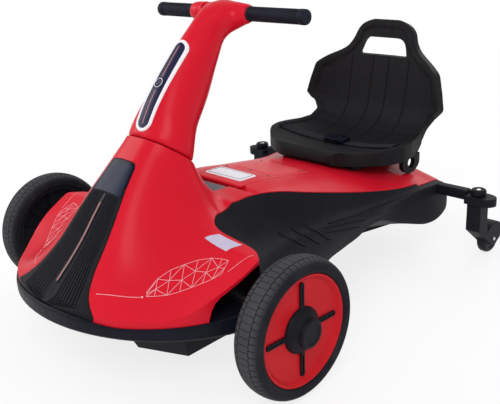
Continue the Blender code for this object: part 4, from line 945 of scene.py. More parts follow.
def makeGrille():
    channel, perRib, border = noseShape["points"]
    half = channel + perRib * noseShape["ribs"] + border
    start, end, rows, height, first, last = pull(noseShape, "start end rows ribHeight ribStart ribEnd")

    def place(i, j):
        y = start + (end - start) * j / rows
        k = abs(i - half)
        share = ribShare(k, half)
        width = min(straightAt(noseShape["edge"], y), bodyWidth(y))
        fan = min(width, straightAt(noseShape["ribEdge"], y)) if y < noseShape["ribEdge"][-1][0] else width
        reach = share * fan
        if share > last:
            reach = last * fan + (share - last) / (1 - last) * (width - last * fan)
        point, normal = bodySkin(math.copysign(reach, i - half), y)
        if share <= first:
            lift = -noseShape["channelDepth"] if k < channel else 0.0002
        elif share >= last:
            lift = height * (0.9 if share < 0.985 else 0.2)
        elif y < noseShape["ribTop"]:
            lift = height * (2 * (0.0, 0.9, 1.0, 1.0, 0.9, 0.0)[(k - channel) % perRib] - 1)
        else:
            lift = 0.0004
        fade = min(max((y - start) / 0.004, 0.15), 1.0)
        under = point - normal * noseShape["thickness"]
        if y <= noseShape["fullWidthEnd"]:
            under = Vector((point.x, point.y, bodyShape["base"]))
        return point + normal * lift * fade, under
    return slab("grilleDetailed", 2 * half, rows, place)


body = settle(makeBody(), "kart", red, ["body_shell"], 40)
print("body made")
wells = []
for side, sideName in sides:
    wells.append(settle(makeFootwell(side, sideName), "kart", blackGrain, [f"footwell_{sideName}"], 40))
print("footwells made")
settle(makeGrille(), "kart", blackGrain, ["grille_panel"], 40)

displayShape = {
    "start": -0.0657,
    "end": -0.0362,
    "edgeShare": 0.995,
    "proud": (0.0012, 0.0006),   # over the frame and along its edge
    "thickness": 0.0034,
    "paneStart": -0.0768,
    "paneInset": 0.0042,
    "paneCorner": 0.0035,
    "paneProud": 0.0016,
    "paneRoot": 0.0012,
}


def makeDisplay():
    start, end, inset, corner = pull(displayShape, "start end paneInset paneCorner")

    def halfAt(y):
        return straightAt(noseShape["edge"], y)

    def height(u, v):
        return displayShape["proud"][0 if min(u, 1 - u) * 2 > 0.02 and 0.03 < v < 0.97 else 1]
    framePlan = roundedPlan(start, end, lambda y: halfAt(y) * displayShape["edgeShare"])
    framePiece = laid("displayFrame", 32, 26, framePlan, bodySkin, height, displayShape["thickness"])
    settle(framePiece, "kart", glossBlack, ["display_panel"])
    panePlan = roundedPlan(displayShape["paneStart"], end - inset, lambda y: halfAt(y) - inset, corner)
    pane = laid("displayPane", 24, 36, panePlan, bodySkin, *pull(displayShape, "paneProud paneRoot"))
    settle(pane, "kart", paneBlue)


makeDisplay()

lightShape = {
    # from, to, half width, corner, how proud and how deep
    "bed": (-0.1842, -0.0784, 0.0030, 0.0020, 0.0004, 0.0010),
    "line": (-0.1830, -0.0880, 0.0013, 0.0018, 0.0004, 0.0006),
    "bulge": 0.0009,
}


def makeLight():
    start, end, half, corner, proud, depth = lightShape["bed"]
    bed = laid("lightBed", 6, 60, roundedPlan(start, end, lambda y: half, corner), bodySkin, proud, depth)
    settle(bed, "kart", glossBlack)
    start, end, width, corner, proud, depth = lightShape["line"]
    strip = laid("lightLine", 8, 60, roundedPlan(start, end, lambda y: width, corner), bodySkin,
                 lambda u, v: proud + lightShape["bulge"] * (1 - abs(2 * u - 1) ** 2.5), depth)
    settle(strip, "kart", lens, ["light_strip"])


makeLight()
print("nose made")


# Steering head: the CAD skin melted into one flowing shape

headShape = {
    "voxel": 0.0018, "passes": 30, "fill": 0.016, "fillSteps": 4,
    "neckBack": 0.0060, "neckSide": 0.14, "neckPasses": 10,
    # heights along the column between which the drawing in comes and goes, and the depth where it starts
    "neckComes": (0.105, 0.190), "neckGoes": (0.226, 0.250), "neckDepth": (0.045, 0.078),
    "sideComes": (0.172, 0.214), "sideGoes": (0.222, 0.243),
}


def meltedCopy(node, name, voxel, passes, fill=0.0):
    piece = nodes[node].copy()
    piece.data = nodes[node].data.copy()
    piece.name = name
    piece.parent = None
    for key in list(piece.keys()):
        del piece[key]
    bpy.context.scene.collection.objects.link(piece)
    tidyMesh(piece)
    modify(piece, "REMESH", mode="VOXEL", voxel_size=voxel)
    if fill:
        # grown and shrunk again by the same amount, so that the inner corners fill up
        steps = headShape["fillSteps"]
        for step in [fill / steps] * steps + [-fill / steps] * steps:
            modify(piece, "DISPLACE", strength=step, mid_level=0.0)
            modify(piece, "REMESH", mode="VOXEL", voxel_size=voxel)
    return modify(piece, "SMOOTH", factor=0.5, iterations=passes)


def slimNeck(head):
    # draws the neck in under the arms, so that they flare out of it in a hollow curve
    back = headPlace.inverted()

    def within(z, name):
        return ease(z, *headShape[f"{name}Comes"]) * (1 - ease(z, *headShape[f"{name}Goes"]))
    for vertex in head.data.vertices:
        place = back @ vertex.co
        neck, beside = within(place.z, "neck"), within(place.z, "side")
        if neck > 0:
            place.y -= headShape["neckBack"] * neck * ease(place.y, *headShape["neckDepth"])
            place.x *= 1 - headShape["neckSide"] * beside
            vertex.co = headPlace @ place
    return modify(head, "SMOOTH", factor=0.5, iterations=headShape["neckPasses"])


head = slimNeck(meltedCopy("steering_column", "headDetailed", *pull(headShape, "voxel passes fill")))
settle(head, "steering_head", red, ["steering_column"], 60)
print("steering head made,", len(head.data.polygons), "faces")


# Capsule on the steering head, grips and throttle collar

headTree = treeOf(head)
headBack = (headPlace.to_3x3() @ Vector((0, 1, 0))).normalized()


def headSkin(x, along):
    return facing(headTree, headPlace @ Vector((x, -0.06, along)), headBack)


def around(v, half, start, end):
    # a place on the outline of a long round-ended form, v from 0 to 1
    straight = end - start - 2 * half
    arc = math.pi * half
    reach = v * (2 * straight + 2 * arc)
    if reach < straight:
        return half, start + half + reach
    reach -= straight
    if reach < arc:
        return half * math.cos(reach / half), end - half + half * math.sin(reach / half)
    reach -= arc
    if reach < straight:
        return -half, end - half - reach
    turn = (reach - straight) / half
    return -half * math.cos(turn), start + half - half * math.sin(turn)


capsuleShape = {
    "start": 0.009, "end": 0.172, "half": 0.0180, "ring": 0.0058, "proud": 0.0026, "paneProud": 0.0014,
    "buttonAt": 0.0907, "buttonRadius": 0.0088, "buttonProud": 0.0013,
    "slit": (0.0010, 0.0030, 0.0060, 0.0019),   # half width, from the button, from the ring, height
}


def makeCapsule():
    start, end, half, ring, proud = pull(capsuleShape, "start end half ring proud")

    def ringPlan(u, v):
        inset = ring * (1 - u)
        return around(v, half - inset, start + inset, end - inset)
    capsuleRing = laid("capsuleRing", 8, 160, ringPlan, headSkin,
                       lambda u, v: proud * (0.35 + 0.65 * (1 - abs(2 * u - 1) ** 3)), 0.0006, True)
    settle(capsuleRing, "steering_head", whiteTrim, ["capsule_frame"], 50)
    low, high = start + ring, end - ring
    panePlan = pillPlan(low, high, half - ring, lambda v: (1 - math.cos(math.pi * v)) / 2)
    pane = laid("capsulePane", 14, 90, panePlan, headSkin, capsuleShape["paneProud"], 0.0004)
    settle(pane, "steering_head", navyGlass, ["capsule_panel"], 50)
    middle, radius = pull(capsuleShape, "buttonAt buttonRadius")
    width, fromButton, fromRing, height = capsuleShape["slit"]
    for name, near, far in (("lower", low + fromRing, middle - radius - fromButton),
                            ("upper", middle + radius + fromButton, high - fromRing)):
        slit = laid(f"capsuleSlit_{name}", 4, 40, pillPlan(near, far, width), headSkin,
                    lambda u, v: height - 0.0004 * abs(2 * u - 1), 0.0)
        settle(slit, "steering_head", lens)
    place, normal = headSkin(0, middle)
    onHead = standing(place + normal * capsuleShape["buttonProud"], normal)
    profile = (
        (0, 0), (0, 0.0011), (radius - 0.0028, 0.0009, 0.0006), (radius - 0.0022, 0.0004, 0.0003),
        (radius - 0.0018, 0.0004, 0.0003), (radius - 0.0014, 0.0012, 0.0003), (radius, 0.0011, 0.0006),
        (radius, 0))
    settle(turned("capsuleButton", profile, 48, onHead), "steering_head", navyGlass)
    inner, outer = radius - 0.0013, radius - 0.0004
    profile = ((inner, 0.0009), (inner, 0.0014, 0.0002), (outer, 0.0014, 0.0002), (outer, 0.0009))
    settle(turned("capsuleButtonRim", profile, 48, onHead), "steering_head", whiteTrim)


makeCapsule()

gripShape = {
    "along": 0.259, "behind": 0.0625, "radius": 0.0123, "starts": (0.0518, 0.0823), "end": 0.1734,
    "flutes": 28, "fluteDepth": 0.0006, "collarStart": 0.0512, "collarEnd": 0.0818, "collarRadius": 0.0163,
}


def onHandlebar(side, start):
    # what is modelled about Z runs outwards along the handlebar from here
    place = headPlace @ Matrix.Translation((side * start, gripShape["behind"], gripShape["along"]))
    return place @ Matrix.Rotation(side * math.pi / 2, 4, "Y")


def makeGrip(name, side, start):
    end, radius, flutes = pull(gripShape, "end radius flutes")
    length, groove, body = end - start, radius - 0.0012, radius - 0.0004
    profile = (
        (0, 0), (radius, 0, 0.001), (radius, 0.0045, 0.0005), (groove, 0.0050, 0.0004),
        (groove, 0.0072, 0.0004), (body, 0.0078, 0.0004), (body, length - 0.0150, 0.0005),
        (groove, length - 0.0146, 0.0004),
        (groove, length - 0.0126, 0.0004), (radius, length - 0.0120, 0.0005), (radius, length, 0.0042),
        (0.0042, length, 0.0004), (0.0038, length - 0.0012), (0, length - 0.0012))
    grip = turned(name, profile, flutes * 4)

    def inFlute(centre):
        outside = math.hypot(centre.x, centre.y) > radius - 0.001
        return outside and 0.0086 < centre.z < length - 0.0158 and sectorShare(centre, flutes) < 0.5
    sink(grip, inFlute, inward(gripShape["fluteDepth"]))
    grip.data.transform(onHandlebar(side, start))
    return grip


for (side, sideName), start in zip(sides, gripShape["starts"]):
    grip = makeGrip(f"gripDetailed_{sideName}", side, start)
    settle(grip, "steering_head", gripBlack, [f"grip_{sideName}"])


def makeCollar():
    start, end, radius = pull(gripShape, "collarStart collarEnd collarRadius")
    length = end - start
    profile = (
        (0, 0), (radius, 0, 0.0006), (radius, 0.0088, 0.0006), (radius - 0.0006, 0.0092, 0.0003),
        (radius - 0.0006, 0.0098, 0.0003), (radius, 0.0102, 0.0006), (radius - 0.0008, length - 0.0060, 0.003),
        (radius - 0.0026, length, 0.0020), (0, length))
    return turned("collarDetailed", profile, 64, onHandlebar(-1, start))


settle(makeCollar(), "steering_head", red, ["throttle_collar"])
print("capsule and grips made")


# Seat: one moulded shell with a raised rim, four grooves and a handle hole

seatShape = {
    # y, z, half width, how far the sides dish, thickness in the middle and at the edge
    "rows": mm(
        (385, 203, 50, 0, 5, 5), (388, 215, 62, 1, 20, 20), (396, 219.5, 86, 2, 26.5, 26.5),
        (408, 215, 104, 4, 22, 26), (422, 209, 124, 10, 16, 26), (440, 207.5, 143, 14, 14.5, 28.5),
        (460, 207, 157, 16, 14, 30), (485, 206.5, 164, 17, 13.5, 30.5), (515, 206.8, 161, 16, 13.8, 29.8),
        (545, 209, 151, 13, 16, 29), (575, 215, 142, 10, 15, 21), (600, 229, 138, 11, 14, 18),
        (615, 245, 152, 22, 14, 20), (622, 261.8, 169.5, 30, 13, 23), (630, 295, 161.2, 32, 13, 24),
        (637.5, 331.7, 150, 32, 13, 24), (641, 348, 127.5, 22, 13.5, 21), (644, 360, 105, 10, 14, 19),
        (646.5, 372, 87, 4, 15, 18), (650, 388, 76, 2, 15, 17), (654, 406, 69.5, 0, 15, 17),
        (656.5, 417, 62, 0, 14, 15), (658.5, 425.5, 49, 0, 12, 12), (659.5, 430, 30, 0, 8, 8)),
    "underside": 0.1931,
    "backMost": 0.6707,
    "flatRows": 10,
    "step": 0.003,
    "soften": 4,
    "inner": mm(
        0, 5, 10, 15, 17.6, 18.6, 19.3, 20, 20.7, 21.4, 22.4, 30, 40, 50, 60, 66.6, 69, 70.1, 71.2, 72.3,
        73.4, 75.5),
    "between": 4,
    "outer": mm(24, 20.5, 18.8, 17.6, 16.2, 14, 11.5, 8, 4.8, 2.4, 1, 0.3, 0),
    "full": 0.1035,
    "grooves": (0.0200, 0.0712),
    "grooveWidth": 0.0010,
    "grooveDepth": 0.0022,
    "fineStep": 0.001,
    "rimRows": (4, 6),   # rows of the table between which the rim rises
    "edgeRow": 2,   # the edge is rounded from this row, and on both sides from the next
    "bothEdgesRow": 10,
    "dishPower": 2.5,
    "frontDepth": 0.005,
    "groovesFrom": (0.505, 0.535),
    "outerGroovesTo": (0.348, 0.360),
    "handleReach": (0.58, 0.75),
    "creaseWidth": 0.0011,
    "creaseDepth": 0.0010,
    "rimInner": 0.0172,
    "rimSlope": 0.0042,
    "rimHeight": 0.0030,
    "crease": 0.0188,
    "edgeRound": 0.0038,
    "handle": mm((62.5, 357, 7), (51, 393.5, 18)),
}


def seatSections():
    # the table's rows, resampled every few millimetres along the seat and softened at the corners
    rows = [(*row, float(k)) for k, row in enumerate(seatShape["rows"])]
    fine = [rows[0]]
    for first, second in zip(rows, rows[1:]):
        length = math.hypot(second[0] - first[0], second[1] - first[1])
        count = max(1, round(length / seatShape["fineStep"]))
        fine += [tuple(a + (b - a) * k / count for a, b in zip(first, second)) for k in range(1, count + 1)]
    for _ in range(2):
        softened = []
        for k in range(len(fine)):
            reach = min(seatShape["soften"], k, len(fine) - 1 - k)
            near = fine[k - reach:k + reach + 1]
            softened.append(tuple(sum(column) / len(near) for column in zip(*near)))
        fine = softened
    kept = fine[::round(seatShape["step"] / seatShape["fineStep"])]
    return kept + ([fine[-1]] if kept[-1] != fine[-1] else [])


def makeSeat():
    sections = seatSections()
    inner, outer, between, rounding = pull(seatShape, "inner outer between edgeRound")
    lengths = [0.0]
    for first, second in zip(sections, sections[1:]):
        lengths.append(lengths[-1] + math.hypot(second[0] - first[0], second[1] - first[1]))

    def acrossAt(half):
        scale = min(1.0, half / seatShape["full"])
        start, end = inner[-1] * scale, half - outer[0] * scale
        middle = [start + (end - start) * k / between for k in range(1, between)]
        return [x * scale for x in inner] + middle + [half - x * scale for x in outer]

    rim = [Vector((section[2], s)) for section, s in zip(sections, lengths)]
    rim = [Vector((0, 0))] + rim + [Vector((0, lengths[-1]))]

    def fromEdge(x, s):
        here = Vector((abs(x), s))
        least = 1.0
        for first, second in zip(rim, rim[1:]):
            if min(abs(first.y - s), abs(second.y - s)) > least:
                continue
            line = second - first
            share = min(max((here - first).dot(line) / max(line.length_squared, 1e-12), 0.0), 1.0)
            least = min(least, (here - first - line * share).length)
        return least

    def liftAt(x, y, z, edge, row):
        # how far the surface stands off the middle line for its rim, crease, rounded edge and grooves
        crease = math.exp(-((edge - seatShape["crease"]) / seatShape["creaseWidth"]) ** 2)
        slope, flat = pull(seatShape, "rimSlope rimInner")
        lift = seatShape["rimHeight"] * (1 - ease(edge, flat - slope, flat)) - seatShape["creaseDepth"] * crease
        lift *= ease(row, *seatShape["rimRows"])
        if row > seatShape["edgeRow"]:
            lift -= rounding - roundWidth(rounding, edge)
        for k, groove in enumerate(seatShape["grooves"]):
            fade = ease(y, *seatShape["groovesFrom"]) * (1 - ease(z, *seatShape["outerGroovesTo"]) * k)
            hollow = math.exp(-((abs(x) - groove) / seatShape["grooveWidth"]) ** 2)
            lift -= seatShape["grooveDepth"] * fade * hollow
        return lift

    half = len(acrossAt(0.1)) - 1
    widths = [acrossAt(section[2]) for section in sections]
    low, flatRows, front = pull(seatShape, "underside flatRows frontDepth")

    def place(i, j):
        y, z, width, dish, thick, thickEdge, row = sections[j]
        before, after = sections[max(j - 1, 0)], sections[min(j + 1, len(sections) - 1)]
        along = Vector((after[0] - before[0], after[1] - before[1])).normalized()
        out = Vector((-along.y, along.x))
        x = math.copysign(widths[j][abs(i - half)], i - half)
        share = (abs(x) / width) ** seatShape["dishPower"]
        edge = fromEdge(x, lengths[j])
        top = Vector((y, z)) + out * (dish * share + liftAt(x, y, z, edge, row))
        deep = thick + (thickEdge - thick) * share
        if row > seatShape["bothEdgesRow"]:
            deep -= rounding - roundWidth(rounding, edge)
        flat = Vector((y, low))
        if row < 1:
            flat.y = top.y - front + (low - top.y + front) * row
        under = flat.lerp(top - out * deep, ease(row, flatRows - 1, flatRows))
        return (Vector((x, top.x + axle.y, top.y)),
                Vector((x, min(under.x, seatShape["backMost"]) + axle.y, under.y)))
    seat = slab("seatDetailed", 2 * half, len(sections) - 1, place)
    lower, upper = seatShape["handle"]
    outline = ((-lower[0], *lower[1:]), lower, upper, (-upper[0], *upper[1:]))
    upright = fromAxle @ Matrix(((1, 0, 0, 0), (0, 0, 1, 0), (0, 1, 0, 0), (0, 0, 0, 1)))
    cutBy(seat, plate("tool", outline, *seatShape["handleReach"], upright))
    return seat


seat = settle(makeSeat(), "kart", seatGrain, ["seat_shell"], 45)
print("seat made,", len(seat.data.polygons), "faces")


# Belt: webbing over the pan with its buckle

beltShape = {
    "y": 0.487, "half": 0.0125, "thick": 0.0015, "reach": 0.1475, "lift": 0.0008, "slack": 0.0007,
    "ends": 0.012,   # cloth that the sag takes up
    "columns": 120, "rows": 8,
    "buckle": (0.0255, 0.0160, 0.0080), "buckleLift": 0.0028,
    "windows": (-0.0105, 0.0105), "windowHalf": 0.0035, "windowDepth": 0.005,
}


def makeBelt():
    drop = dropper(seat)
    y, half, thick, reach, columns, rows = pull(beltShape, "y half thick reach columns rows")
    heights = {}

    def restAt(x):
        if x not in heights:
            heights[x] = max(drop(x, y + half * k / 2)[0].z for k in range(-2, 3))
        return heights[x]

    def strapPlace(i, j):
        x = reach * (2 * i / columns - 1)
        across = 2 * j / rows - 1
        near = max(restAt(round(x + d * 0.002, 6)) for d in (-1, 0, 1))
        z = near + beltShape["lift"] + beltShape["slack"] * (1 + math.sin(70 * x)) / 2
        plan = (x, y + half * across + axle.y)
        return Vector((*plan, z + thick * (1 - 0.25 * across**6))), Vector((*plan, z))
    strap = slab("beltWebbing", columns, rows, strapPlace)
    settle(strap, "kart", webbing, ["belt_strap"], 60)
    2 * half
    2 * reach + beltShape["ends"]
    long, wide, high = beltShape["buckle"]
    edge = ((-long, 0.003 - wide), (0.010 - long, -wide), (long - 0.004, -wide), (long, 0.004 - wide))
    outline = [(x, y, 0.003) for x, y in edge] + [(x, -y, 0.003) for x, y in reversed(edge)]
    buckle = plate("buckleBody", outline, 0, high, bevel=0.0012, segments=3)
    width, depth = pull(beltShape, "windowHalf windowDepth")
    for x in beltShape["windows"]:
        for near, far in ((-wide - 0.004, depth - wide), (wide - depth, wide + 0.004)):
            window = rectangle(x - width, near, x + width, far, 0.001)
            cutBy(buckle, plate("tool", window, 0.0020, high - 0.002))
    seam = rectangle(-0.0004, -wide - 0.001, 0.0004, wide + 0.001)
    cutBy(buckle, plate("tool", seam, high - 0.0008, high + 0.001))
    outline = rectangle(0.006, -0.0065, 0.018, 0.0065, 0.002)
    button = plate("buckleButton", outline, high - 0.0005, high + 0.0007, bevel=0.0004)
    place = Matrix.Translation(Vector((0, beltShape["y"], restAt(0.0) + beltShape["buckleLift"])) + axle)
    for piece in (buckle, button):
        piece.data.transform(place)
    buckle = joined("buckleBody", [buckle, button])
    settle(buckle, "kart", glossBlack, ["belt_buckle"], slot="black_textured_plastic")


makeBelt()
print("belt made")


# Deck: ribbed mat, hatch plate with its screws, white label; lines and blank labels on the red

deckShape = {
    # from, to and half width
    "mat": (0.1015, 0.1426, 0.0455),
    "matBase": -0.0066,
    "matRibs": 9,
    "matPoints": (40, 6),   # across the mat, along a rib
    "hatch": (0.1474, 0.3296, 0.0616),
    "hatchProud": 0.0012,
    "label": (0.1640, 0.2060, 0.0460),
    "labelProud": 0.0016,
    "borderInset": 0.0045,
    "borderWidth": 0.0009,
    "screws": mm((-52, 318), (52, 318), (-52, 226), (52, 226), (0, 318), (0, 236)),
    "patch": mm(
        (-46, 236, 6), (46, 236, 6), (56, 248, 6), (56, 306, 6), (46, 322, 6), (-46, 322, 6), (-56, 306, 6),
        (-56, 248, 6)),
}


def screw(name, place, normal, radius=0.0030, height=0.0012):
    # a low round head with a cross cut into it
    root = -0.0008
    profile = ((0, root), (0, height), (radius * 0.6, height * 0.95, 0.0006),
               (radius, height * 0.35, 0.0008), (radius, root))
    head = turned(name, profile, 24)
    arm, half = radius * 0.62, radius * 0.14
    for x, y in ((arm, half), (half, arm)):
        cutBy(head, plate("tool", rectangle(-x, -y, x, y), height * 0.3, height + 0.001))
    head.data.transform(standing(place, normal))
    return head


def roundedLoop(v, halfX, middleY, halfY, corner):
    # a place on a rectangle with round corners, v from 0 to 1
    straights = (2 * (halfX - corner), 2 * (halfY - corner))
    arc = math.pi * corner / 2
    reach = (v % 1) * (2 * sum(straights) + 4 * arc)
    for k, (cx, cy) in enumerate(((1, -1), (1, 1), (-1, 1), (-1, -1))):
        length = straights[k % 2]
        if reach < length:
            along = reach - length / 2
            x, y = ((along, -halfY), (halfX, along), (-along, halfY), (-halfX, -along))[k]
            return x, middleY + y
        reach -= length
        if reach < arc:
            angle = k * math.pi / 2 - math.pi / 2 + reach / corner
            return (cx * (halfX - corner) + corner * math.cos(angle),
                    middleY + cy * (halfY - corner) + corner * math.sin(angle))
        reach -= arc
    return 0.0, middleY - halfY


def makeMat():
    start, end, half = deckShape["mat"]
    base = bodyTop(0, bodyShape["mat"][1]) + deckShape["matBase"]
    columns, perRib = deckShape["matPoints"]
    rows = deckShape["matRibs"] * perRib

    def place(i, j):
        plan = (half * (2 * i / columns - 1), start + (end - start) * j / rows + axle.y)
        ribbed = 2 < j < rows - 2 and 1 < i < columns - 1
        wave = (0.0, 0.8, 1.0, 1.0, 0.8, 0.0)[j % perRib] if ribbed else 0.5
        return Vector((*plan, base + 0.0010 + 0.0010 * wave)), Vector((*plan, base))
    settle(slab("matRibbed", columns, rows, place), "kart", matGrey, ["deck_mat"], 25)


def makeHatch():
    start, end, half = deckShape["hatch"]
    proud = deckShape["hatchProud"]
    hatch = laid("hatchPlate", 72, 96, roundedPlan(start, end, lambda y: half, 0.004), bodySkin,
                 bevelled(end - start, half, proud, 0.0012, 0.0016), 0.0030)
    settle(hatch, "kart", red, ["battery_hatch"], 40)
    onHatch = dropper(hatch, body)
    patchOutline = fillet(deckShape["patch"], 5)
    centre = Vector((0, 0.279))
    count = len(patchOutline)

    def patchPlan(u, v):
        return tuple(centre.lerp(patchOutline[round(v * count) % count], 0.02 + 0.98 * u))
    patch = laid("servicePlate", 16, count, patchPlan, onHatch,
                 lambda u, v: 0.0009 * (1 - ease(u, 0.955, 1.0)) + 0.0001, 0.0002, True)
    settle(patch, "kart", redPale, (), 40)
    onPlate = dropper(hatch, body, patch)
    screws = [screw("screw", *onPlate(x, y)) for x, y in deckShape["screws"]]
    settle(joined("hatchScrews", screws), "kart", darkSteel)

    start, end, half = deckShape["label"]
    label = laid("deckLabel", 60, 40, roundedPlan(start, end, lambda y: half, 0.006), onHatch,
                 bevelled(end - start, half, deckShape["labelProud"], 0.0008, 0.0012), 0.0004)
    settle(label, "kart", labelWhite, ["hatch_label"], 40)
    inset, width = pull(deckShape, "borderInset borderWidth")

    def borderPlan(u, v):
        within = inset + width * u
        return roundedLoop(v, half - within, (start + end) / 2, (end - start) / 2 - within, 0.004)
    border = laid("labelBorder", 4, 120, borderPlan, dropper(label), 0.00025, 0.0001, True)
    settle(border, "kart", glossBlack)


makeMat()
makeHatch()
print("deck made")

lineShape = {
    "upper": mm(
        (134.5, -118), (133, -96), (138.5, -74), (148, -56), (159, -38.5), (174, -25), (190, -19),
        (201, -17)),
    "lower": mm(
        (139, -123), (147, -115), (160, -103), (173, -89), (184, -76), (194, -64), (203, -52), (209, -40)),
    "width": 0.00075,
    "height": 0.00022,
    "lead": mm((83.1, -169.9), (96, -161.8), (110.5, -151.5), (122.5, -141.5), (133.3, -130.2)),
    "dot": (0.1353, -0.1282, 0.0017),
    "tail": mm((215, -33), (219, -16), (226.4, 9.5)),
    "label": mm((139.4, -6.1), (147.2, 17.1), (190.7, 22), (185.6, -6)),
}


def makeLines():
    onBody = dropper(body)
    upper, lower = ([Vector(p) for p in row] for row in pull(lineShape, "upper lower"))
    middle = [a.lerp(b, 0.42 + 0.16 * (k % 2)) for k, (a, b) in enumerate(zip(upper, lower))]
    edges = []
    for chain in (upper, middle, lower):
        edges += list(zip(chain, chain[1:]))
    for k in range(len(upper)):
        edges += [(upper[k], middle[k]), (middle[k], lower[k])]
        if k + 1 < len(upper):
            edges.append((upper[k], middle[k + 1]) if k % 2 else (upper[k + 1], middle[k]))
            edges.append((lower[k], middle[k + 1]) if k % 2 == 0 else (lower[k + 1], middle[k]))
    paths = edges + [lineShape["lead"], lineShape["tail"]]
    width, height = pull(lineShape, "width height")
    for side, sideName in sides:
        strips = [ribbon("line", [(side * x, y) for x, y in path], width, height, onBody) for path in paths]
        x, y, radius = lineShape["dot"]
        profile = ((0, -0.0002), (0, 0.0003), (radius, 0.0003), (radius, -0.0002))
        strips.append(turned("dot", profile, 20, standing(*onBody(side * x, y))))
        settle(joined(f"fenderLines_{sideName}", strips), "kart", linePink, (), 60)
    corners = [Vector(p) for p in lineShape["label"]]

    def labelPlan(u, v):
        return tuple(corners[0].lerp(corners[3], u).lerp(corners[1].lerp(corners[2], u), v))
    settle(laid("fenderLabel", 16, 12, labelPlan, onBody, 0.0003, 0.0003), "kart", lilac, (), 60)


makeLines()
print("lines and labels made")

ribShape = {
    "ribs": mm(
        ((163.2, 258), (174.1, 294.5), (183, 332)), ((167.7, 238.9), (185, 272), (202.4, 305.8)),
        ((181.8, 224.3), (196.6, 251.7), (210.6, 279.8)), ((135.1, 160.5), (156, 169.7), (190.4, 162.6)),
        ((139, 189.4), (162, 195.7), (200.9, 184.8)), ((143.7, 217.6), (167.4, 220.7), (203.8, 207.8))),
    "width": 0.0048,
    "height": 0.0018,
}


def makeRibs():
    width, height = pull(ribShape, "width height")
    for well, (side, sideName) in zip(wells, sides):
        onWell = dropper(well)
        strips = [ribbon("rib", [(side * x, y) for x, y in path], width, height, onWell, 0.003)
                  for path in ribShape["ribs"]]
        settle(joined(f"footRibs_{sideName}", strips), "kart", blackGrain, (), 50)


makeRibs()
print("foot ribs made")


# Rear casters and the brackets that carry them

casterShape = {
    "place": (0.282, 0.557),
    "capBase": 0.1306,
    "capRadius": 0.0148,
    "capHeight": 0.0119,
    "trail": 0.045,
    "wheelRadius": 0.029,
    "wheelHalf": 0.009,
    "wheelBore": 0.0046,
    "forkHalf": 0.0145,
    "pinRadius": 0.0040,
    "melt": (0.0009, 5),
}


def makeCaster(side, sideName):
    x, y = casterShape["place"]
    centre = Vector((side * x, y, 0)) + axle
    swivel, rolling = f"caster_swivel_{sideName}", f"rear_wheel_{sideName}"
    base, radius, height = pull(casterShape, "capBase capRadius capHeight")
    profile = (
        (0, 0), (0, height - 0.0010), (0.0050, height - 0.0010, 0.0004), (0.0056, height - 0.0016, 0.0003),
        (0.0068, height - 0.0016, 0.0003), (0.0074, height, 0.0004), (radius - 0.0024, height, 0.0016),
        (radius, height - 0.0030, 0.002), (radius, 0.0022, 0.001), (radius - 0.0014, 0.0016, 0.0004),
        (radius - 0.0014, 0))
    cap = turned(f"casterCap_{sideName}", profile, 48, Matrix.Translation(centre + Vector((0, 0, base))))
    settle(cap, swivel, blackGrain, [f"caster_cap_{sideName}"])
    profile = ((0, 0), (0, 0.0008), (0.0040, 0.0006, 0.0004), (0.0048, 0, 0.0003))
    top = turned(f"casterCapPin_{sideName}", profile, 32,
                 Matrix.Translation(centre + Vector((0, 0, base + height - 0.0011))))
    settle(top, swivel, pinSteel)
    for kind, name, rides in (("fork", "casterFork", swivel), ("bracket", "casterBracket", "kart")):
        node = f"caster_{kind}_{sideName}"
        settle(meltedCopy(node, f"{name}_{sideName}", *casterShape["melt"]), rides, blackGrain, [node], 60)
    half, reach, bore = pull(casterShape, "wheelHalf wheelRadius wheelBore")
    hub = Vector((centre.x, centre.y + casterShape["trail"], reach))
    outward = Matrix.Translation(hub) @ Matrix.Rotation(math.pi / 2, 4, "Y")
    sunk = half - 0.0016
    flank = ((bore, half), (0.0085, half, 0.0004), (0.0090, sunk, 0.0004), (0.0190, sunk, 0.0006),
             (0.0205, half, 0.0006), (reach - 0.0032, half, 0.0015), (reach - 0.0002, half - 0.0032, 0.002))
    profile = flank + ((reach, 0),) + tuple((r, -h, *rest) for r, h, *rest in reversed(flank))
    wheel = turned(f"casterWheelDetailed_{sideName}", profile, 72, outward)
    settle(wheel, rolling, casterBlack, [f"caster_wheel_{sideName}"])
    end, pin = pull(casterShape, "forkHalf pinRadius")
    profile = ((0, -end - 0.0010), (pin - 0.0010, -end - 0.0010, 0.0006), (pin - 0.0002, -end - 0.0002, 0.0006),
               (pin - 0.0002, end + 0.0002, 0.0006), (pin - 0.0010, end + 0.0010, 0.0006), (0, end + 0.0010))
    pinPiece = turned(f"casterPin_{sideName}", profile, 32, outward)
    settle(pinPiece, swivel, pinSteel, [f"caster_axle_{sideName}"])


for side, sideName in sides:
    makeCaster(side, sideName)
print("casters made")


# Underside: stiffening ribs, vent bars and screws on the pan and the drive housings

underShape = {
    "ribs": mm(0, 36, -36, 72, -72),
    "ribStart": 0.09,
    "ribEnd": 0.47,
    "ribSize": (0.0040, 0.0012),
    "vents": mm(-50, -38, -26, -14),
    "ventFrom": 0.124,
    "ventTo": 0.160,
    "screws": mm(
        (96, 70), (100, 240), (100, 420), (0, 66), (0, 490), (55, -130), (114, -92), (168, -70), (114, 26),
        (168, 26)),
    "screwSize": (0.0042, 0.0014),
    "nodes": ("underbody_pan", "drive_housing_left", "drive_housing_right"),
    "from": -0.1,   # the height from which these are looked at
}


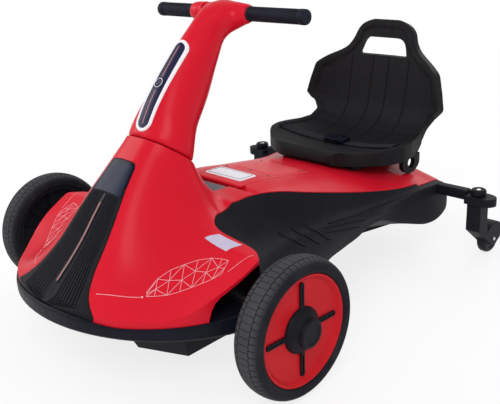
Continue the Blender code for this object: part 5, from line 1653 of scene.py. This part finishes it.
def makeUnderside():
    rise = dropper(*(nodes[name] for name in underShape["nodes"]), start=underShape["from"])
    start, end, size, first, last = pull(underShape, "ribStart ribEnd ribSize ventFrom ventTo")
    bars = [ribbon("bar", [(x, start), (x, end)], *size, rise, 0.01) for x in underShape["ribs"]]
    for side, _ in sides:
        for y in underShape["vents"]:
            bars.append(ribbon("bar", [(side * first, y), (side * last, y)], *size, rise, 0.006))
    settle(joined("underBars", bars), "kart", blackGrain, (), 50)
    spots = sorted({(side * x, y) for x, y in underShape["screws"] for side, _ in sides})
    heads = [screw("screw", *rise(x, y), *underShape["screwSize"]) for x, y in spots]
    settle(joined("underScrews", heads), "kart", pinSteel)


makeUnderside()
print("underside made")


# Camera, floor and light

view = {
    "place": (0.9484, -0.9244, 0.6455),
    "azimuth": 45.6915,
    "elevation": 20.3646,
    "roll": -3.4036,
    "lens": 55.17,
}


def setCamera():
    turn, rise, roll = (math.radians(view[key]) for key in ("azimuth", "elevation", "roll"))
    back = Vector((math.sin(turn) * math.cos(rise), -math.cos(turn) * math.cos(rise), math.sin(rise)))
    right = Vector((math.cos(turn), math.sin(turn), 0))
    up = back.cross(right)
    tiltedRight = right * math.cos(roll) + up * math.sin(roll)
    tiltedUp = up * math.cos(roll) - right * math.sin(roll)
    lensData = bpy.data.cameras.new("camera")
    lensData.lens, lensData.sensor_width, lensData.clip_start = view["lens"], 36, 0.01
    camera = bpy.data.objects.new("camera", lensData)
    facingKart = Matrix((tiltedRight, tiltedUp, back)).transposed().to_4x4()
    camera.matrix_world = Matrix.Translation(view["place"]) @ facingKart
    bpy.context.scene.collection.objects.link(camera)
    bpy.context.scene.camera = camera


studio = {
    "floor": (0.93, 0.93, 0.935),
    "floorSize": 12,
    "floorLevel": -0.0006,
    "floorGlow": 0.80,   # how far the floor shows as the white background; the rest keeps the shadow
    "glowSpread": (0.55, 1.6),
    "sky": 0.62,
    "aim": (0, 0, 0.15),
    "lamps": (
        ("keyLamp", (1.3, -1.5, 1.9), 1.4, 26),
        ("sideLamp", (-1.7, -0.9, 1.3), 1.2, 12),
        ("backLamp", (-0.2, 1.9, 1.6), 1.4, 14),
    ),
}


def setFloor():
    bpy.ops.mesh.primitive_plane_add(size=studio["floorSize"], location=(0, 0, studio["floorLevel"]))
    floor = bpy.context.object
    floor.name = "floor"
    pale = Finish("floorPale", {"Roughness": 0.9, "Specular IOR Level": 0.1})
    pale.set("Base Color", pale.mix(pale.noise(3, 2), studio["floor"], [c * 0.99 for c in studio["floor"]]))
    rays = [pale.node("LightPath", output=f"Is {kind} Ray") for kind in ("Camera", "Glossy", "Transmission")]
    glow = pale.node("Emission", {}, {"Color": (1, 1, 1, 1), "Strength": 1.0})
    far = pale.vector("LENGTH", pale.place(), output="Value")
    near, wide = studio["glowSpread"]
    spread = pale.node("MapRange", {}, {"Value": far, "From Min": near, "From Max": wide,
                                        "To Min": studio["floorGlow"], "To Max": 1.0})
    seen = pale.node("MixShader", {}, {0: (rays[0] + rays[1] + rays[2]) * spread,
                                       1: Wire(pale, pale.shader.outputs[0]), 2: glow})
    pale.tree.links.new(seen.socket, pale.tree.nodes["Material Output"].inputs[0])
    floor.data.materials.append(pale.material)


def setLamps():
    for name, place, size, power in studio["lamps"]:
        lamp = bpy.data.lights.new(name, "AREA")
        lamp.shape, lamp.size, lamp.energy = "DISK", size, power
        holder = bpy.data.objects.new(name, lamp)
        holder.location = place
        holder.rotation_euler = (Vector(studio["aim"]) - Vector(place)).to_track_quat("-Z", "Y").to_euler()
        bpy.context.scene.collection.objects.link(holder)


def setSky():
    # the camera sees plain white, the kart a dimmer sky
    world = bpy.data.worlds.new("world")
    bpy.context.scene.world = world
    world.use_nodes = True
    tree = world.node_tree
    sky, seen = tree.nodes["Background"], tree.nodes.new("ShaderNodeBackground")
    for shade, strength in ((sky, studio["sky"]), (seen, 1.0)):
        shade.inputs["Color"].default_value = (1, 1, 1, 1)
        shade.inputs["Strength"].default_value = strength
    path, blend = (tree.nodes.new(f"ShaderNode{kind}") for kind in ("LightPath", "MixShader"))
    for k, socket in enumerate((path.outputs["Is Camera Ray"], sky.outputs[0], seen.outputs[0])):
        tree.links.new(socket, blend.inputs[k])
    tree.links.new(blend.outputs[0], tree.nodes["World Output"].inputs[0])
    bpy.context.scene.view_settings.view_transform = "Standard"


setCamera()
setFloor()
setLamps()
setSky()
print("camera and studio set")
